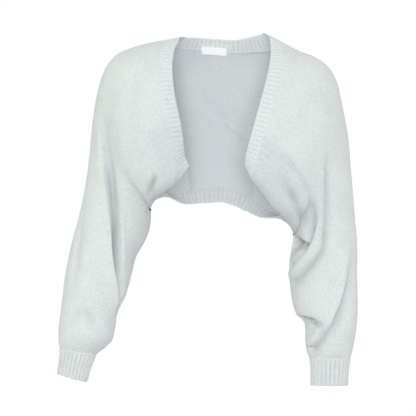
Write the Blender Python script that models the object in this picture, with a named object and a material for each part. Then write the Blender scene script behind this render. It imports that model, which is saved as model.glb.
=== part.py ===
"""Cropped batwing cardigan in blue-grey knit, worn form, modelled as open cloth walls.

The cloth is one surface from cuff to cuff. Each row of the tables is a section through it: from a
point over the arm or shoulder, round the front to its low edge, and round the back to its own low
edge. On the sleeves both low edges meet and the section is a closed ring. Panels, bands and cuffs are
cut from that surface with a narrow gap at each seam. Left and right are the wearer's, sizes are in
millimetres, x runs to the wearer's left, y to the back and z up from the back of the neck.
"""

from collections import namedtuple

import bmesh
import bpy
import numpy as np
from mathutils import Vector

# Sizes
MM = 0.001
PANEL_WALL = 2.2
RIB_WALL = 2.8
RIB_RISE = 1.2
RIB_PITCH = 9.2
SEAM_GAP = 0.3
BAND_WIDTH = 26.0
BAND_MITRE = 20.5
MITRE_REACH = 80.0
LEAN_REACH = 5
HEM_WIDTH = 26.0
CUFF_RIBS = 24
CUFF_LEVELS = 3
LABEL_WIDTH = 48.0
LABEL_HEIGHT = 17.0
LABEL_WALL = 0.9
LABEL_GAP = 0.5

# Fineness of the sections
COLUMNS = 17
FINE = 240
ARMHOLE_ROW = 10
LAST_ROW = 17
SLEEVE_STEPS = [0, 1, 2, 3] + [3 + 0.5 * i for i in range(1, 15)]
BODY_STEPS = [10, 10.25, 10.5, 10.75] + [11 + 0.5 * i for i in range(13)]

Row = namedtuple(
    "Row",
    "over_x over_y over_z front_x front_y front_z back_x back_y back_z "
    "front_deep back_deep body bow back_turn",
)

# Right side, from the cuff seam up the sleeve to the armhole (row 10) and on to the front band
RIGHT_ROWS = [
    Row(-304, -38, -565, -236, -38, -577, -236, -38, -577, 29, 29, 0, 0, 2),
    Row(-306, -37, -557, -220, -37, -565, -220, -37, -565, 38, 37, 0, 0, 2),
    Row(-307, -35, -544, -207, -35, -551, -207, -35, -551, 47, 45, 0, 0, 2),
    Row(-307, -31, -524, -202, -31, -531, -202, -31, -531, 54, 52, 0, 0, 2),
    Row(-304, -22, -482, -197, -22, -499, -197, -22, -499, 58, 57, 0, 0, 2),
    Row(-298, -12, -437, -181, -12, -466, -181, -12, -466, 61, 61, 0, 0, 2),
    Row(-285, -3, -382, -170, -2, -430, -170, -2, -430, 64, 65, 0, 0, 2),
    Row(-272, 3, -329, -161, 5, -395, -161, 5, -395, 68, 68, 0, 0, 2),
    Row(-262, 7, -274, -146, 8, -367, -146, 8, -367, 69, 68, 0, 0, 2),
    Row(-252, 9, -208, -137, 9, -338, -137, 9, -338, 70, 69, 0, 0, 2),
    Row(-246, 9, -146, -136, 9, -310, -136, 9, -310, 75, 74, 0.15, 0, 2.3),
    Row(-240, 8, -102, -136, -18, -302, -136, 36, -302, 84, 82, 0.45, 0, 2.8),
    Row(-232, 7, -68, -128, -39, -286, -129, 53, -289, 96, 91, 0.75, 0, 3),
    Row(-220, 6, -37, -116, -54, -278, -118, 64, -283, 107, 98, 0.95, -1, 3),
    Row(-199, 5, -13, -105, -66, -269, -105, 72, -279, 115, 103, 1, -3, 2.8),
    Row(-172, 4, -1, -94, -75, -261, -89, 79, -277, 120, 106, 1, -6, 2.5),
    Row(-140, 3, 9, -87, -82, -254, -76, 85, -274, 122, 106, 1, -10.5, 2.2),
    Row(-109, 2, 16, -80, -87, -249, -62, 89, -271, 123, 106, 1, -15.5, 2),
]

# Left side, in the same order
LEFT_ROWS = [
    Row(242, -42, -584, 164, -42, -584, 164, -42, -584, 31, 31, 0, 0, 2),
    Row(245, -41, -573, 159, -41, -573, 159, -41, -573, 39, 39, 0, 0, 2),
    Row(248, -38, -556, 156, -38, -554, 156, -38, -554, 47, 46, 0, 0, 2),
    Row(251, -34, -533, 156, -33, -531, 156, -33, -531, 53, 52, 0, 0, 2),
    Row(253, -29, -510, 154, -28, -516, 154, -28, -516, 57, 56, 0, 0, 2),
    Row(255, -23, -482, 140, -22, -501, 140, -22, -501, 60, 60, 0, 0, 2),
    Row(256, -14, -438, 130, -12, -472, 130, -12, -472, 63, 64, 0, 0, 2),
    Row(255, -4, -382, 126, -2, -440, 126, -2, -440, 66, 67, 0, 0, 2),
    Row(251, 3, -319, 127, 5, -408, 127, 5, -408, 69, 70, 0, 0, 2),
    Row(247, 8, -255, 132, 9, -382, 132, 9, -382, 70, 70, 0, 0, 2),
    Row(241, 9, -193, 136, 9, -357, 136, 9, -357, 75, 74, 0.15, 0, 2.3),
    Row(235, 8, -144, 136, -18, -349, 136, 36, -349, 84, 82, 0.45, 0, 2.8),
    Row(227, 7, -100, 126, -39, -331, 129, 53, -335, 96, 91, 0.75, 0, 3),
    Row(216, 6, -62, 113, -54, -316, 118, 64, -326, 107, 98, 0.95, 1, 3),
    Row(199, 5, -33, 98, -66, -303, 105, 72, -317, 115, 103, 1, 2.5, 2.8),
    Row(175, 4, -15, 86, -75, -289, 89, 79, -308, 120, 106, 1, 4, 2.5),
    Row(146, 3, -3, 72, -83, -272, 76, 85, -298, 122, 106, 1, 6, 2.2),
    Row(117, 2, 11, 55, -91, -251, 62, 89, -288, 123, 106, 1, 8.5, 2),
]

NeckRow = namedtuple("NeckRow", "over_x over_y over_z back_x back_y back_z back_deep start")

# Back of the neck, from the right shoulder to the left; start is the angle of the slope at the seam
NECK_ROWS = [
    NeckRow(-95, 24, 10, -54, 92, -269, 110, 14),
    NeckRow(-80, 39, 5, -46, 94, -268, 111, 23),
    NeckRow(-42, 54, 0, -25, 95, -267, 112, 32),
    NeckRow(8, 59, -4, 3, 95, -266, 115, 36),
    NeckRow(49, 55, -5, 27, 95, -272, 112, 32),
    NeckRow(89, 40, -2, 46, 94, -280, 111, 22),
    NeckRow(106, 23, 5, 54, 92, -285, 110, 12),
]

CuffEnd = namedtuple("CuffEnd", "over_x over_y over_z low_x low_y low_z front_deep back_deep")
CUFF_ENDS = {
    "right": CuffEnd(-309, -46, -614, -255, -46, -629, 24, 24),
    "left": CuffEnd(235, -50, -635, 167, -50, -635, 28, 28),
}

Fold = namedtuple("Fold", "side half rows shares toward sharp soft deep ridge ridge_at")

# Folds: where each runs (row of the table and share of the way from the over point to the low edge),
# which way its soft slope lies (1 to the low edge, -1 to the over point), its two widths and its depth,
# and the height of the ridge beside it and how far that is towards the low edge
FOLDS = [
    Fold("right", "front", (4.2, 5, 6, 7, 8, 9, 10, 11.8),
         (0.97, 0.86, 0.73, 0.61, 0.46, 0.28, 0.19, 0.08), 1, 20, 32, 9, 5, 36),
    Fold("left", "front", (6.6, 7, 7.4, 8, 9, 10, 11, 12.4),
         (0.97, 0.85, 0.72, 0.545, 0.50, 0.46, 0.39, 0.30), -1, 17, 28, 8, 5, 30),
    Fold("left", "front", (7.6, 8, 9, 10, 11, 12), (0.8, 0.75, 0.715, 0.69, 0.63, 0.57),
         1, 15, 24, 5, 0, 26),
    Fold("left", "front", (1, 2, 3, 4, 5, 6, 7.2), (0.93, 0.80, 0.63, 0.48, 0.29, 0.16, 0.04),
         -1, 18, 28, 8, 5, 30),
    Fold("left", "front", (11.5, 13, 15), (0.86, 0.82, 0.78), 1, 18, 20, 3, 0, 26),
    Fold("right", "back", (3.5, 5, 7, 9, 10.5), (0.9, 0.72, 0.5, 0.34, 0.28), 1, 20, 32, 8, 4, 36),
    Fold("left", "back", (3, 4.5, 6.5, 8.5, 10.5), (0.92, 0.75, 0.52, 0.36, 0.28), 1, 20, 32, 8, 4, 36),
    Fold("right", "back", (8.5, 10, 12), (0.74, 0.7, 0.66), 1, 18, 26, 5, 2, 32),
    Fold("left", "back", (8.5, 10, 12), (0.76, 0.7, 0.66), 1, 18, 26, 5, 2, 32),
]

Bend = namedtuple("Bend", "at degrees")

# How far a band bends out of the cloth at its seam: the front band by share of the way down a front
# and by row across the back of the neck, the hem band by row of the tables
FRONT_BEND = [Bend(0, 0), Bend(0.3, 0), Bend(0.9, -5), Bend(1, -20)]
NECK_BEND = [Bend(0, 0), Bend(2, 12), Bend(4, 20), Bend(6, 12), Bend(8, 0)]
FRONT_HEM_BEND = [Bend(10, 0), Bend(11, -30), Bend(12, -45), Bend(17, -50)]
BACK_HEM_BEND = [
    Bend(10, 0), Bend(11, -30), Bend(12, -30), Bend(13, -20), Bend(15, -5), Bend(17, 3), Bend(21, 12),
]

KNIT = (0.60, 0.67, 0.66, 1.0)
LABEL_WHITE = (0.85, 0.85, 0.84, 1.0)


def clear_scene():
    for obj in list(bpy.data.objects):
        bpy.data.objects.remove(obj, do_unlink=True)


def unit(vectors):
    return vectors / np.maximum(np.linalg.norm(vectors, axis=-1, keepdims=True), 1e-9)


def smooth_rows(values, at):
    """Values of a table between its rows, along a smooth curve through every row."""
    values = np.asarray(values, float)
    at = np.asarray(at, float)
    low = np.clip(np.floor(at).astype(int), 0, len(values) - 2)
    t = (at - low)[:, None]
    before = values[np.maximum(low - 1, 0)]
    start = values[low]
    end = values[low + 1]
    after = values[np.minimum(low + 2, len(values) - 1)]
    slope_in = (end - before) / 2
    slope_out = (after - start) / 2
    return (
        start * (2 * t**3 - 3 * t**2 + 1)
        + slope_in * (t**3 - 2 * t**2 + t)
        + end * (3 * t**2 - 2 * t**3)
        + slope_out * (t**3 - t**2)
    )


def half_section(over, low, deep, sign, apex, low_power, start_angle, bow):
    """One half of a section as COLUMNS points, evenly spaced along its length, and their shares.

    The half leaves the over point level, reaches its full depth at the apex share of its height, and
    turns back to the low point along a curve whose squareness is low_power.
    """
    start_depth = np.sin(start_angle)
    end_depth = np.clip(start_depth + sign * (low[1] - over[1]) / deep, 0.0, 0.9999)
    end_angle = np.pi - np.arcsin(end_depth ** (low_power / 2))
    ease = (1 - np.cos(np.linspace(0, np.pi, FINE))) / 2
    angle = start_angle + (end_angle - start_angle) * ease
    sine = np.clip(np.sin(angle), 0, 1)
    cosine = np.cos(angle)
    upper = cosine >= 0
    depth = np.where(upper, sine, sine ** (2 / low_power))
    down = np.where(upper, apex * (1 - cosine), apex + (1 - apex) * np.abs(cosine) ** (2 / low_power))
    share = (down - down[0]) / (down[-1] - down[0])
    points = over + (low - over) * share[:, None]
    points[:, 1] = over[1] + sign * deep * (depth - depth[0])
    points[:, 1] += (low[1] - points[-1, 1]) * share
    points[:, 0] += bow * np.sin(np.pi * np.sqrt(share)) ** 2
    steps = np.linalg.norm(np.diff(points, axis=0), axis=1)
    length = np.concatenate([[0], np.cumsum(steps)])
    even = np.linspace(0, length[-1], COLUMNS)
    spaced = np.stack([np.interp(even, length, points[:, k]) for k in range(3)], axis=1)
    return spaced, np.interp(even, length, share)


def back_rows():
    """The back's own table: right side, back of the neck, left side, cuff to cuff."""
    sides = []
    for rows in (RIGHT_ROWS, LEFT_ROWS):
        sides.append(
            [
                (r.over_x, r.over_y, r.over_z, r.back_x, r.back_y, r.back_z, r.back_deep, 0, r.back_turn)
                for r in rows
            ]
        )
    return sides[0] + [(*row, 2) for row in NECK_ROWS] + sides[1][::-1]


def front_grid(rows, at, back_at):
    """Points and shares of a front half at the given rows, which the back's table has at back_at."""
    values = smooth_rows(rows, at)
    beside = smooth_rows(back_rows(), back_at)
    points = []
    shares = []
    for place, row, other in zip(at, values, beside):
        cell = Row(*row)
        low = np.array([cell.front_x, cell.front_y, cell.front_z])
        if place <= ARMHOLE_ROW:
            low = (low + other[3:6]) / 2
        body = np.clip(cell.body, 0, 1)
        spaced, share = half_section(
            other[:3], low, cell.front_deep, -1, 0.5 + 0.2 * body, 2 + 1.5 * body, 0.0, cell.bow
        )
        points.append(spaced)
        shares.append(share)
    return np.array(points), np.array(shares)


def back_grid(at):
    """Points and shares of the back half, from cuff to cuff."""
    values = smooth_rows(back_rows(), at)
    points = []
    shares = []
    for place, cell in zip(at, values):
        low = cell[3:6]
        for rows, row in ((RIGHT_ROWS, place), (LEFT_ROWS, len(back_rows()) - 1 - place)):
            if row <= ARMHOLE_ROW:
                low = (low + smooth_rows(rows, [row])[0, 3:6]) / 2
        spaced, share = half_section(
            cell[:3], low, cell[6], 1, 0.5, cell[8], np.radians(max(cell[7], 0)), 0.0
        )
        points.append(spaced)
        shares.append(share)
    return np.array(points), np.array(shares)


def fold_heights(side, half, at, points, shares):
    """How far each point of a half is moved out by the folds, in millimetres."""
    height = np.zeros(shares.shape)
    across = np.linalg.norm((points[:, -1] - points[:, 0])[:, [0, 2]], axis=1)[:, None]
    for fold in FOLDS:
        if fold.side != side or fold.half != half:
            continue
        first = fold.rows[0]
        last = fold.rows[-1]
        way = np.clip((at - first) / (last - first), 0, 1)
        fade = np.sin(np.pi * way) ** 0.6
        path = np.interp(at, fold.rows, fold.shares)
        past = (shares - path[:, None]) * across
        away = past * fold.toward
        width = np.where(away < 0, fold.sharp, fold.soft)
        trough = np.exp(-((away / width) ** 2))
        crest = np.exp(-(((past - fold.ridge_at) / (0.6 * fold.ridge_at)) ** 2))
        height += fade[:, None] * (fold.ridge * crest - fold.deep * trough)
    edge = np.minimum(shares, 1 - shares) * across
    return height * np.clip(edge / 14, 0, 1)


def grid_normals(points):
    """Unit normals of a half, pointing out of the worn form."""
    along = np.gradient(points, axis=0)
    down = np.gradient(points, axis=1)
    normals = unit(np.cross(along, down))
    normals[1:-1] = unit(normals[:-2] + 2 * normals[1:-1] + normals[2:])
    middle = (points[:, :1] + points[:, -1:]) / 2
    facing = ((points - middle) * normals).sum(axis=-1).mean()
    return normals if facing > 0 else -normals


def shared_normals(right, left, back, right_at, left_at):
    """Normals of the three halves, made equal along the lines where the halves meet."""
    normals = [grid_normals(right), grid_normals(left), grid_normals(back)]
    ends = (np.arange(len(right)), len(back) - 1 - np.arange(len(left)))
    for front, at, index in ((normals[0], right_at, ends[0]), (normals[1], left_at, ends[1])):
        ring = index[at <= ARMHOLE_ROW]
        over = unit(front[:, 0] + normals[2][index, 0])
        front[:, 0] = over
        normals[2][index, 0] = over
        under = unit(front[: len(ring), -1] + normals[2][ring, -1])
        front[: len(ring), -1] = under
        normals[2][ring, -1] = under
    return normals


def whole_surface():
    """Outer and inner points of the three halves, with the folds in."""
    side_at = np.array(SLEEVE_STEPS + BODY_STEPS[1:], float)
    neck_at = LAST_ROW + np.arange(1, 2 * (len(NECK_ROWS) + 1)) * 0.5
    total = len(RIGHT_ROWS) + len(NECK_ROWS) + len(LEFT_ROWS) - 1
    back_at = np.concatenate([side_at, neck_at, total - side_at[::-1]])
    right, right_share = front_grid(RIGHT_ROWS, side_at, side_at)
    left, left_share = front_grid(LEFT_ROWS, side_at, total - side_at)
    back, back_share = back_grid(back_at)
    normals = shared_normals(right, left, back, side_at, side_at)
    right = right + normals[0] * fold_heights("right", "front", side_at, right, right_share)[..., None]
    left = left + normals[1] * fold_heights("left", "front", side_at, left, left_share)[..., None]
    rise = fold_heights("right", "back", back_at, back, back_share)
    rise += fold_heights("left", "back", total - back_at, back, back_share)
    back = back + normals[2] * rise[..., None]
    normals = shared_normals(right, left, back, side_at, side_at)
    halves = {}
    for name, outer, normal in zip(("right", "left", "back"), (right, left, back), normals):
        halves[name] = (outer, outer - PANEL_WALL * normal)
    return halves, side_at, back_at


def seam_way(outer, inner, towards, ring=False):
    """Unit vectors square to a seam's face, one at each of its points, on the side of towards."""
    middle = (outer + inner) / 2
    if ring:
        along = np.roll(middle, -1, axis=0) - np.roll(middle, 1, axis=0)
    else:
        along = np.gradient(middle, axis=0)
    way = unit(np.cross(along, outer - inner))
    return way * np.sign((way * towards).sum(axis=1, keepdims=True))


def pull_in(layers, edges, ring=False):
    """Moves the named edges of a panel's two layers in by half a seam's gap."""
    outer, inner = (layer.copy() for layer in layers)
    places = {
        "first": ((0, slice(None)), (1, slice(None))),
        "last": ((-1, slice(None)), (-2, slice(None))),
        "over": ((slice(None), 0), (slice(None), 1)),
        "low": ((slice(None), -1), (slice(None), -2)),
    }
    shifts = []
    for edge in edges:
        here, beside = places[edge]
        shifts.append((here, seam_way(outer[here], inner[here], outer[beside] - outer[here], ring)))
    for here, way in shifts:
        outer[here] += way * SEAM_GAP / 2
        inner[here] += way * SEAM_GAP / 2
    return outer, inner


def wall_mesh(name, outer, inner, ring, colour):
    """A closed wall between two grids of points, with the same diagonals on both of its sides."""
    rows, columns = outer.shape[:2]
    mesh = bmesh.new()
    sides = []
    for layer in (outer, inner):
        sides.append([[mesh.verts.new(layer[i, j] * MM) for j in range(columns)] for i in range(rows)])
    steps = columns if ring else columns - 1
    rule = Vector((0.31, 0.53, 0.79))

    def edge_patch(a, b, c, d):
        """Two triangles on an edge's face, cut the same way on both pieces that meet there."""
        if a.co.dot(rule) > b.co.dot(rule):
            mesh.faces.new((a, b, c))
            mesh.faces.new((a, c, d))
        else:
            mesh.faces.new((a, b, d))
            mesh.faces.new((b, c, d))

    for i in range(rows - 1):
        for j in range(steps):
            k = (j + 1) % columns
            a, b, c, d = sides[0][i][j], sides[0][i + 1][j], sides[0][i + 1][k], sides[0][i][k]
            mesh.faces.new((a, b, c))
            mesh.faces.new((a, c, d))
            e, f, g, h = sides[1][i][j], sides[1][i + 1][j], sides[1][i + 1][k], sides[1][i][k]
            mesh.faces.new((e, g, f))
            mesh.faces.new((e, h, g))
    for i in (0, rows - 1):
        for j in range(steps):
            k = (j + 1) % columns
            edge_patch(sides[0][i][j], sides[0][i][k], sides[1][i][k], sides[1][i][j])
    if not ring:
        for j in (0, columns - 1):
            for i in range(rows - 1):
                edge_patch(sides[0][i][j], sides[0][i + 1][j], sides[1][i + 1][j], sides[1][i][j])
    bmesh.ops.recalc_face_normals(mesh, faces=mesh.faces)
    data = bpy.data.meshes.new(name)
    mesh.to_mesh(data)
    mesh.free()
    obj = bpy.data.objects.new(name, data)
    for polygon in data.polygons:
        polygon.use_smooth = True
    data.materials.append(make_material(name, colour))
    return obj


def make_material(name, colour):
    material = bpy.data.materials.new(name + "_cloth")
    material.use_nodes = True
    shader = material.node_tree.nodes["Principled BSDF"]
    shader.inputs["Base Color"].default_value = colour
    shader.inputs["Roughness"].default_value = 0.9
    shader.inputs["Metallic"].default_value = 0.0
    return material


def along_polyline(points, places):
    """Points at the given places, in units of the polyline's own steps."""
    index = np.arange(len(points))
    return np.stack([np.interp(places, index, points[:, k]) for k in range(3)], axis=1)


def rib_places(points, pitch):
    """Places of the ribs' crests and hollows along a polyline, with one at each of its points."""
    lengths = np.linalg.norm(np.diff(points, axis=0), axis=1)
    places = []
    for i, length in enumerate(lengths):
        count = max(int(round(2 * length / pitch)), 1)
        places.extend(i + np.arange(count) / count)
    return np.array(places + [len(points) - 1.0])


def bend_of(table, at):
    columns = np.array(table, float)
    return np.radians(np.interp(at, columns[:, 0], columns[:, 1]))


def eased(vectors, reach):
    """Unit vectors averaged over their neighbours, up to reach of them on each side."""
    padded = np.concatenate([vectors[:1]] * reach + [vectors] + [vectors[-1:]] * reach)
    weights = np.sin(np.pi * (np.arange(2 * reach + 1) + 1) / (2 * reach + 2)) ** 2
    total = sum(w * padded[i : i + len(vectors)] for i, w in enumerate(weights))
    return unit(total)


def rib_band(seam_outer, seam_inner, bends, side, width, slides):
    """Outer and inner grids of a rib band that starts at a seam and goes on from its cloth.

    The side, 1 or -1, says on which side of the seam's line the band lies. The slides move its free
    edge along the seam's line. Where the panel's end face twists, the gap is a little wider.
    """
    seam_middle = (seam_outer + seam_inner) / 2
    out = unit(seam_outer - seam_inner)
    away = side * unit(np.cross(np.gradient(seam_middle, axis=0), out))
    turning = np.linalg.norm(np.diff(out, axis=0), axis=1)
    twist = np.maximum(np.append(turning, 0), np.insert(turning, 0, 0))[:, None]
    clear = away * (SEAM_GAP / 2 + twist * PANEL_WALL / 4)
    places = rib_places(seam_middle, RIB_PITCH)
    outer_seam = along_polyline(seam_outer + clear, places)
    inner_seam = along_polyline(seam_inner + clear, places)
    turn = np.interp(places, np.arange(len(bends)), bends)[:, None]
    slide = along_polyline(unit(np.gradient(seam_middle, axis=0)) * slides[:, None], places)
    out = unit(along_polyline(out, places))
    away = along_polyline(away, places)
    away = unit(away - out * (away * out).sum(axis=1, keepdims=True))
    lean = eased(away * np.cos(turn) + out * np.sin(turn), LEAN_REACH)
    face = eased(out * np.cos(turn) - away * np.sin(turn), LEAN_REACH)
    middle = (outer_seam + inner_seam) / 2
    rise = RIB_RISE * (np.arange(len(places)) % 2)[:, None]
    outer = [outer_seam + out * rise * 0.5]
    inner = [inner_seam]
    for share, swell in ((0.5, 1.0), (1.0, 0.5)):
        line = middle + (lean * width + slide) * share
        outer.append(line + face * (RIB_WALL / 2 + rise * swell))
        inner.append(line - face * RIB_WALL / 2)
    return np.stack(outer, axis=1), np.stack(inner, axis=1)


def hem_band(halves, side_at, back_at, first_body):
    """The rib band round the lower edge, from one front's end under the arm and across the back."""
    last_back = len(back_at) - 1 - first_body
    right = slice(len(side_at) - 1, first_body, -1)
    across = slice(first_body, last_back + 1)
    left = slice(first_body + 1, len(side_at))
    layers = []
    for layer in (0, 1):
        layers.append(
            np.concatenate(
                [
                    halves["right"][layer][right, -1],
                    halves["back"][layer][across, -1],
                    halves["left"][layer][left, -1],
                ]
            )
        )
    near = np.minimum(back_at[across], back_at[-1] - back_at[across])
    bends = np.concatenate(
        [
            bend_of(FRONT_HEM_BEND, side_at[right]),
            bend_of(BACK_HEM_BEND, near),
            bend_of(FRONT_HEM_BEND, side_at[left]),
        ]
    )
    band = rib_band(layers[0], layers[1], bends, -1, HEM_WIDTH, np.zeros(len(bends)))
    return pull_in(band, ("first", "last"))


def front_band(halves, side_at, back_at):
    """The rib band up one front edge, round the neck and down the other front edge."""
    down = np.linspace(0, 1, COLUMNS)
    first_neck = len(side_at) - 1
    last_neck = len(back_at) - len(side_at)
    neck_at = back_at[first_neck + 1 : last_neck] - LAST_ROW
    layers = []
    for layer in (0, 1):
        layers.append(
            np.concatenate(
                [
                    halves["right"][layer][-1, ::-1],
                    halves["back"][layer][first_neck + 1 : last_neck, 0],
                    halves["left"][layer][-1],
                ]
            )
        )
    front = bend_of(FRONT_BEND, down)
    bends = np.concatenate([front[::-1], bend_of(NECK_BEND, neck_at), front])
    length = np.cumsum(np.linalg.norm(np.diff(layers[0], axis=0, prepend=layers[0][:1]), axis=1))
    from_start = np.clip(1 - length / MITRE_REACH, 0, 1) ** 1.5
    from_end = np.clip(1 - (length[-1] - length) / MITRE_REACH, 0, 1) ** 1.5
    slides = BAND_MITRE * (from_start - from_end)
    return rib_band(layers[0], layers[1], bends, 1, BAND_WIDTH, slides)


def ring_of(front, back):
    """A closed ring of points from a front half and a back half."""
    return np.concatenate([front, back[..., -2:0:-1, :]], axis=-2)


def cuff(side, top_outer, top_inner):
    """Outer and inner grids of a rib cuff that starts on the sleeve's last ring."""
    end = CuffEnd(*CUFF_ENDS[side])
    over = np.array([end.over_x, end.over_y, end.over_z], float)
    low = np.array([end.low_x, end.low_y, end.low_z], float)
    halves = []
    for sign, deep in ((-1, end.front_deep), (1, end.back_deep)):
        halves.append(half_section(over, low, deep, sign, 0.5, 2.0, 0.0, 0.0)[0])
    bottom = ring_of(halves[0], halves[1])
    places = np.arange(2 * CUFF_RIBS) * len(bottom) / (2 * CUFF_RIBS)
    loops = []
    for ring in (top_outer, top_inner, bottom):
        loops.append(along_polyline(np.concatenate([ring, ring[:1]]), places))
    out = unit(loops[2] - loops[2].mean(axis=0))
    bottom_outer = loops[2] + out * RIB_WALL / 2
    bottom_inner = loops[2] - out * RIB_WALL / 2
    rise = RIB_RISE * (np.arange(len(places)) % 2)[:, None]
    clear = seam_way(top_outer, top_inner, low + over - top_outer.mean(axis=0) * 2, True) * SEAM_GAP / 2
    clear = along_polyline(np.concatenate([clear, clear[:1]]), places)
    outer = []
    inner = []
    for i in range(CUFF_LEVELS):
        share = i / (CUFF_LEVELS - 1)
        swell = 0.0 if i == 0 else 1.0
        outer.append((loops[0] + clear) * (1 - share) + bottom_outer * share + out * rise * swell)
        inner.append((loops[1] + clear) * (1 - share) + bottom_inner * share)
    return np.stack(outer), np.stack(inner)


def neck_label(halves, back_at):
    """The label's two faces, made from the back's inner points and moved in."""
    inner = halves["back"][1]
    out = unit(halves["back"][0] - inner)
    centre = np.interp(-15.0, inner[:, 0, 0], np.arange(len(back_at)))
    first = int(np.floor(centre)) - 1
    strip = inner[first : first + 4]
    facing = out[first : first + 4]
    wide = strip[:, 0, 0]
    columns = np.interp(np.linspace(-15 - LABEL_WIDTH / 2, -15 + LABEL_WIDTH / 2, 5), wide, np.arange(4))
    cell = np.linalg.norm(strip[:, 1] - strip[:, 0], axis=1).mean()
    depths = np.array([1.5, 1.5 + LABEL_HEIGHT / 2, 1.5 + LABEL_HEIGHT]) / cell
    faces = []
    for gap in (LABEL_GAP, LABEL_GAP + LABEL_WALL):
        rows = []
        for down in depths:
            j = min(int(down), 1)
            part = down - j
            line = strip[:, j] * (1 - part) + strip[:, j + 1] * part
            turned = unit(facing[:, j] * (1 - part) + facing[:, j + 1] * part)
            rows.append(along_polyline(line - turned * gap, columns))
        faces.append(np.stack(rows))
    return faces


def main():
    clear_scene()
    collection = bpy.data.collections.new("batwing_cardigan")
    bpy.context.scene.collection.children.link(collection)
    halves, side_at, back_at = whole_surface()
    first_body = len(SLEEVE_STEPS) - 1
    objects = []

    for side in ("right", "left"):
        front = halves[side]
        back = halves["back"] if side == "right" else [layer[::-1] for layer in halves["back"]]
        rings = [ring_of(front[k][: first_body + 1], back[k][: first_body + 1]) for k in (0, 1)]
        top = pull_in(rings, ("first", "last"), True)
        objects.append(wall_mesh(side + "_sleeve", top[0], top[1], True, KNIT))
        outer, inner = cuff(side, rings[0][0], rings[1][0])
        objects.append(wall_mesh(side + "_cuff", outer, inner, True, KNIT))
        panel = pull_in([layer[first_body:] for layer in front], ("first", "last", "over", "low"))
        objects.append(wall_mesh(side + "_front", panel[0], panel[1], False, KNIT))

    last_back = len(back_at) - 1 - first_body
    panel = [layer[first_body : last_back + 1] for layer in halves["back"]]
    panel = pull_in(panel, ("first", "last", "over", "low"))
    objects.append(wall_mesh("back", panel[0], panel[1], False, KNIT))
    hem = hem_band(halves, side_at, back_at, first_body)
    objects.append(wall_mesh("hem_band", hem[0], hem[1], False, KNIT))
    band = front_band(halves, side_at, back_at)
    objects.append(wall_mesh("front_band", band[0], band[1], False, KNIT))
    label = neck_label(halves, back_at)
    objects.append(wall_mesh("neck_label", label[0], label[1], False, LABEL_WHITE))
    for obj in objects:
        collection.objects.link(obj)


main()
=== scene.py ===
"""Looks of a cropped batwing cardigan: knit panels with their folds, rib bands, seam rolls and a label.

The cloth is one surface from cuff to cuff, worked out from the same tables as the solids on finer
grids, with its creases sunk in and painted shade in their troughs. Tables are in millimetres and
meshes in metres. Left and right are the wearer's, x runs to the wearer's left, y to the back and z up.
"""

import logging
from dataclasses import dataclass, field
from enum import Enum
from typing import NamedTuple

import bpy
import numpy as np
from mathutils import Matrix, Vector


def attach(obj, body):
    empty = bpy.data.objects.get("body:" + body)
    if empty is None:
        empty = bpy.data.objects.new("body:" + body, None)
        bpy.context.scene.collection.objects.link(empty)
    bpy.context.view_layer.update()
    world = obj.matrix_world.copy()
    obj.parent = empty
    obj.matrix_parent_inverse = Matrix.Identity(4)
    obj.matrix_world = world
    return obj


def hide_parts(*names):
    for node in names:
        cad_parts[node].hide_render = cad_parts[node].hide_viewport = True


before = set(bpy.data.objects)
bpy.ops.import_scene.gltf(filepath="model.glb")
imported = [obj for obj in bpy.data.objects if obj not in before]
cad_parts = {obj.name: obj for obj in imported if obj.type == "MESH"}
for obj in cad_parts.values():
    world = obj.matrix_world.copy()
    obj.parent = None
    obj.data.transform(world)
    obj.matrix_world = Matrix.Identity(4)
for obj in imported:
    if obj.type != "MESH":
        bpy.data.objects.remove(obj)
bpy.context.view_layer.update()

MM = 0.001
TURN = 6.283185
LOG = logging.getLogger("cardigan")
ARMHOLE_ROW = 10.0
LAST_ROW = 17.0
# The groove value that marks the inner face of a knit panel, which gets painted light: a paler, bluer colour
INSIDE_PAINTED_LIGHT = -1.0
Table = tuple[tuple[float, float], ...]
Cut = tuple[tuple[float, float], float]


class Side(Enum):
    """The three halves that the cloth is worked out in."""

    RIGHT = "right"
    LEFT = "left"
    BACK = "back"


class SectionRow(NamedTuple):
    """A section through sleeve or body: over point, front and back low points, depths and turns."""

    over_x: float
    over_y: float
    over_z: float
    front_x: float
    front_y: float
    front_z: float
    back_x: float
    back_y: float
    back_z: float
    front_deep: float
    back_deep: float
    body: float
    bow: float
    back_turn: float


class NeckRow(NamedTuple):
    """A section of the back below the neck: over point, low point, depth and angle at the seam."""

    over_x: float
    over_y: float
    over_z: float
    back_x: float
    back_y: float
    back_z: float
    back_deep: float
    start: float


class CuffEnd(NamedTuple):
    """The open end of a cuff: over point, low point and depths."""

    over_x: float
    over_y: float
    over_z: float
    low_x: float
    low_y: float
    low_z: float
    front_deep: float
    back_deep: float


def ring_row(*sizes: float) -> SectionRow:
    """A closed ring of the sleeve: over point, the low point that front and back share, and both depths."""
    return SectionRow(*sizes[:6], *sizes[3:6], *sizes[6:], 0, 0, 2)


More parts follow.
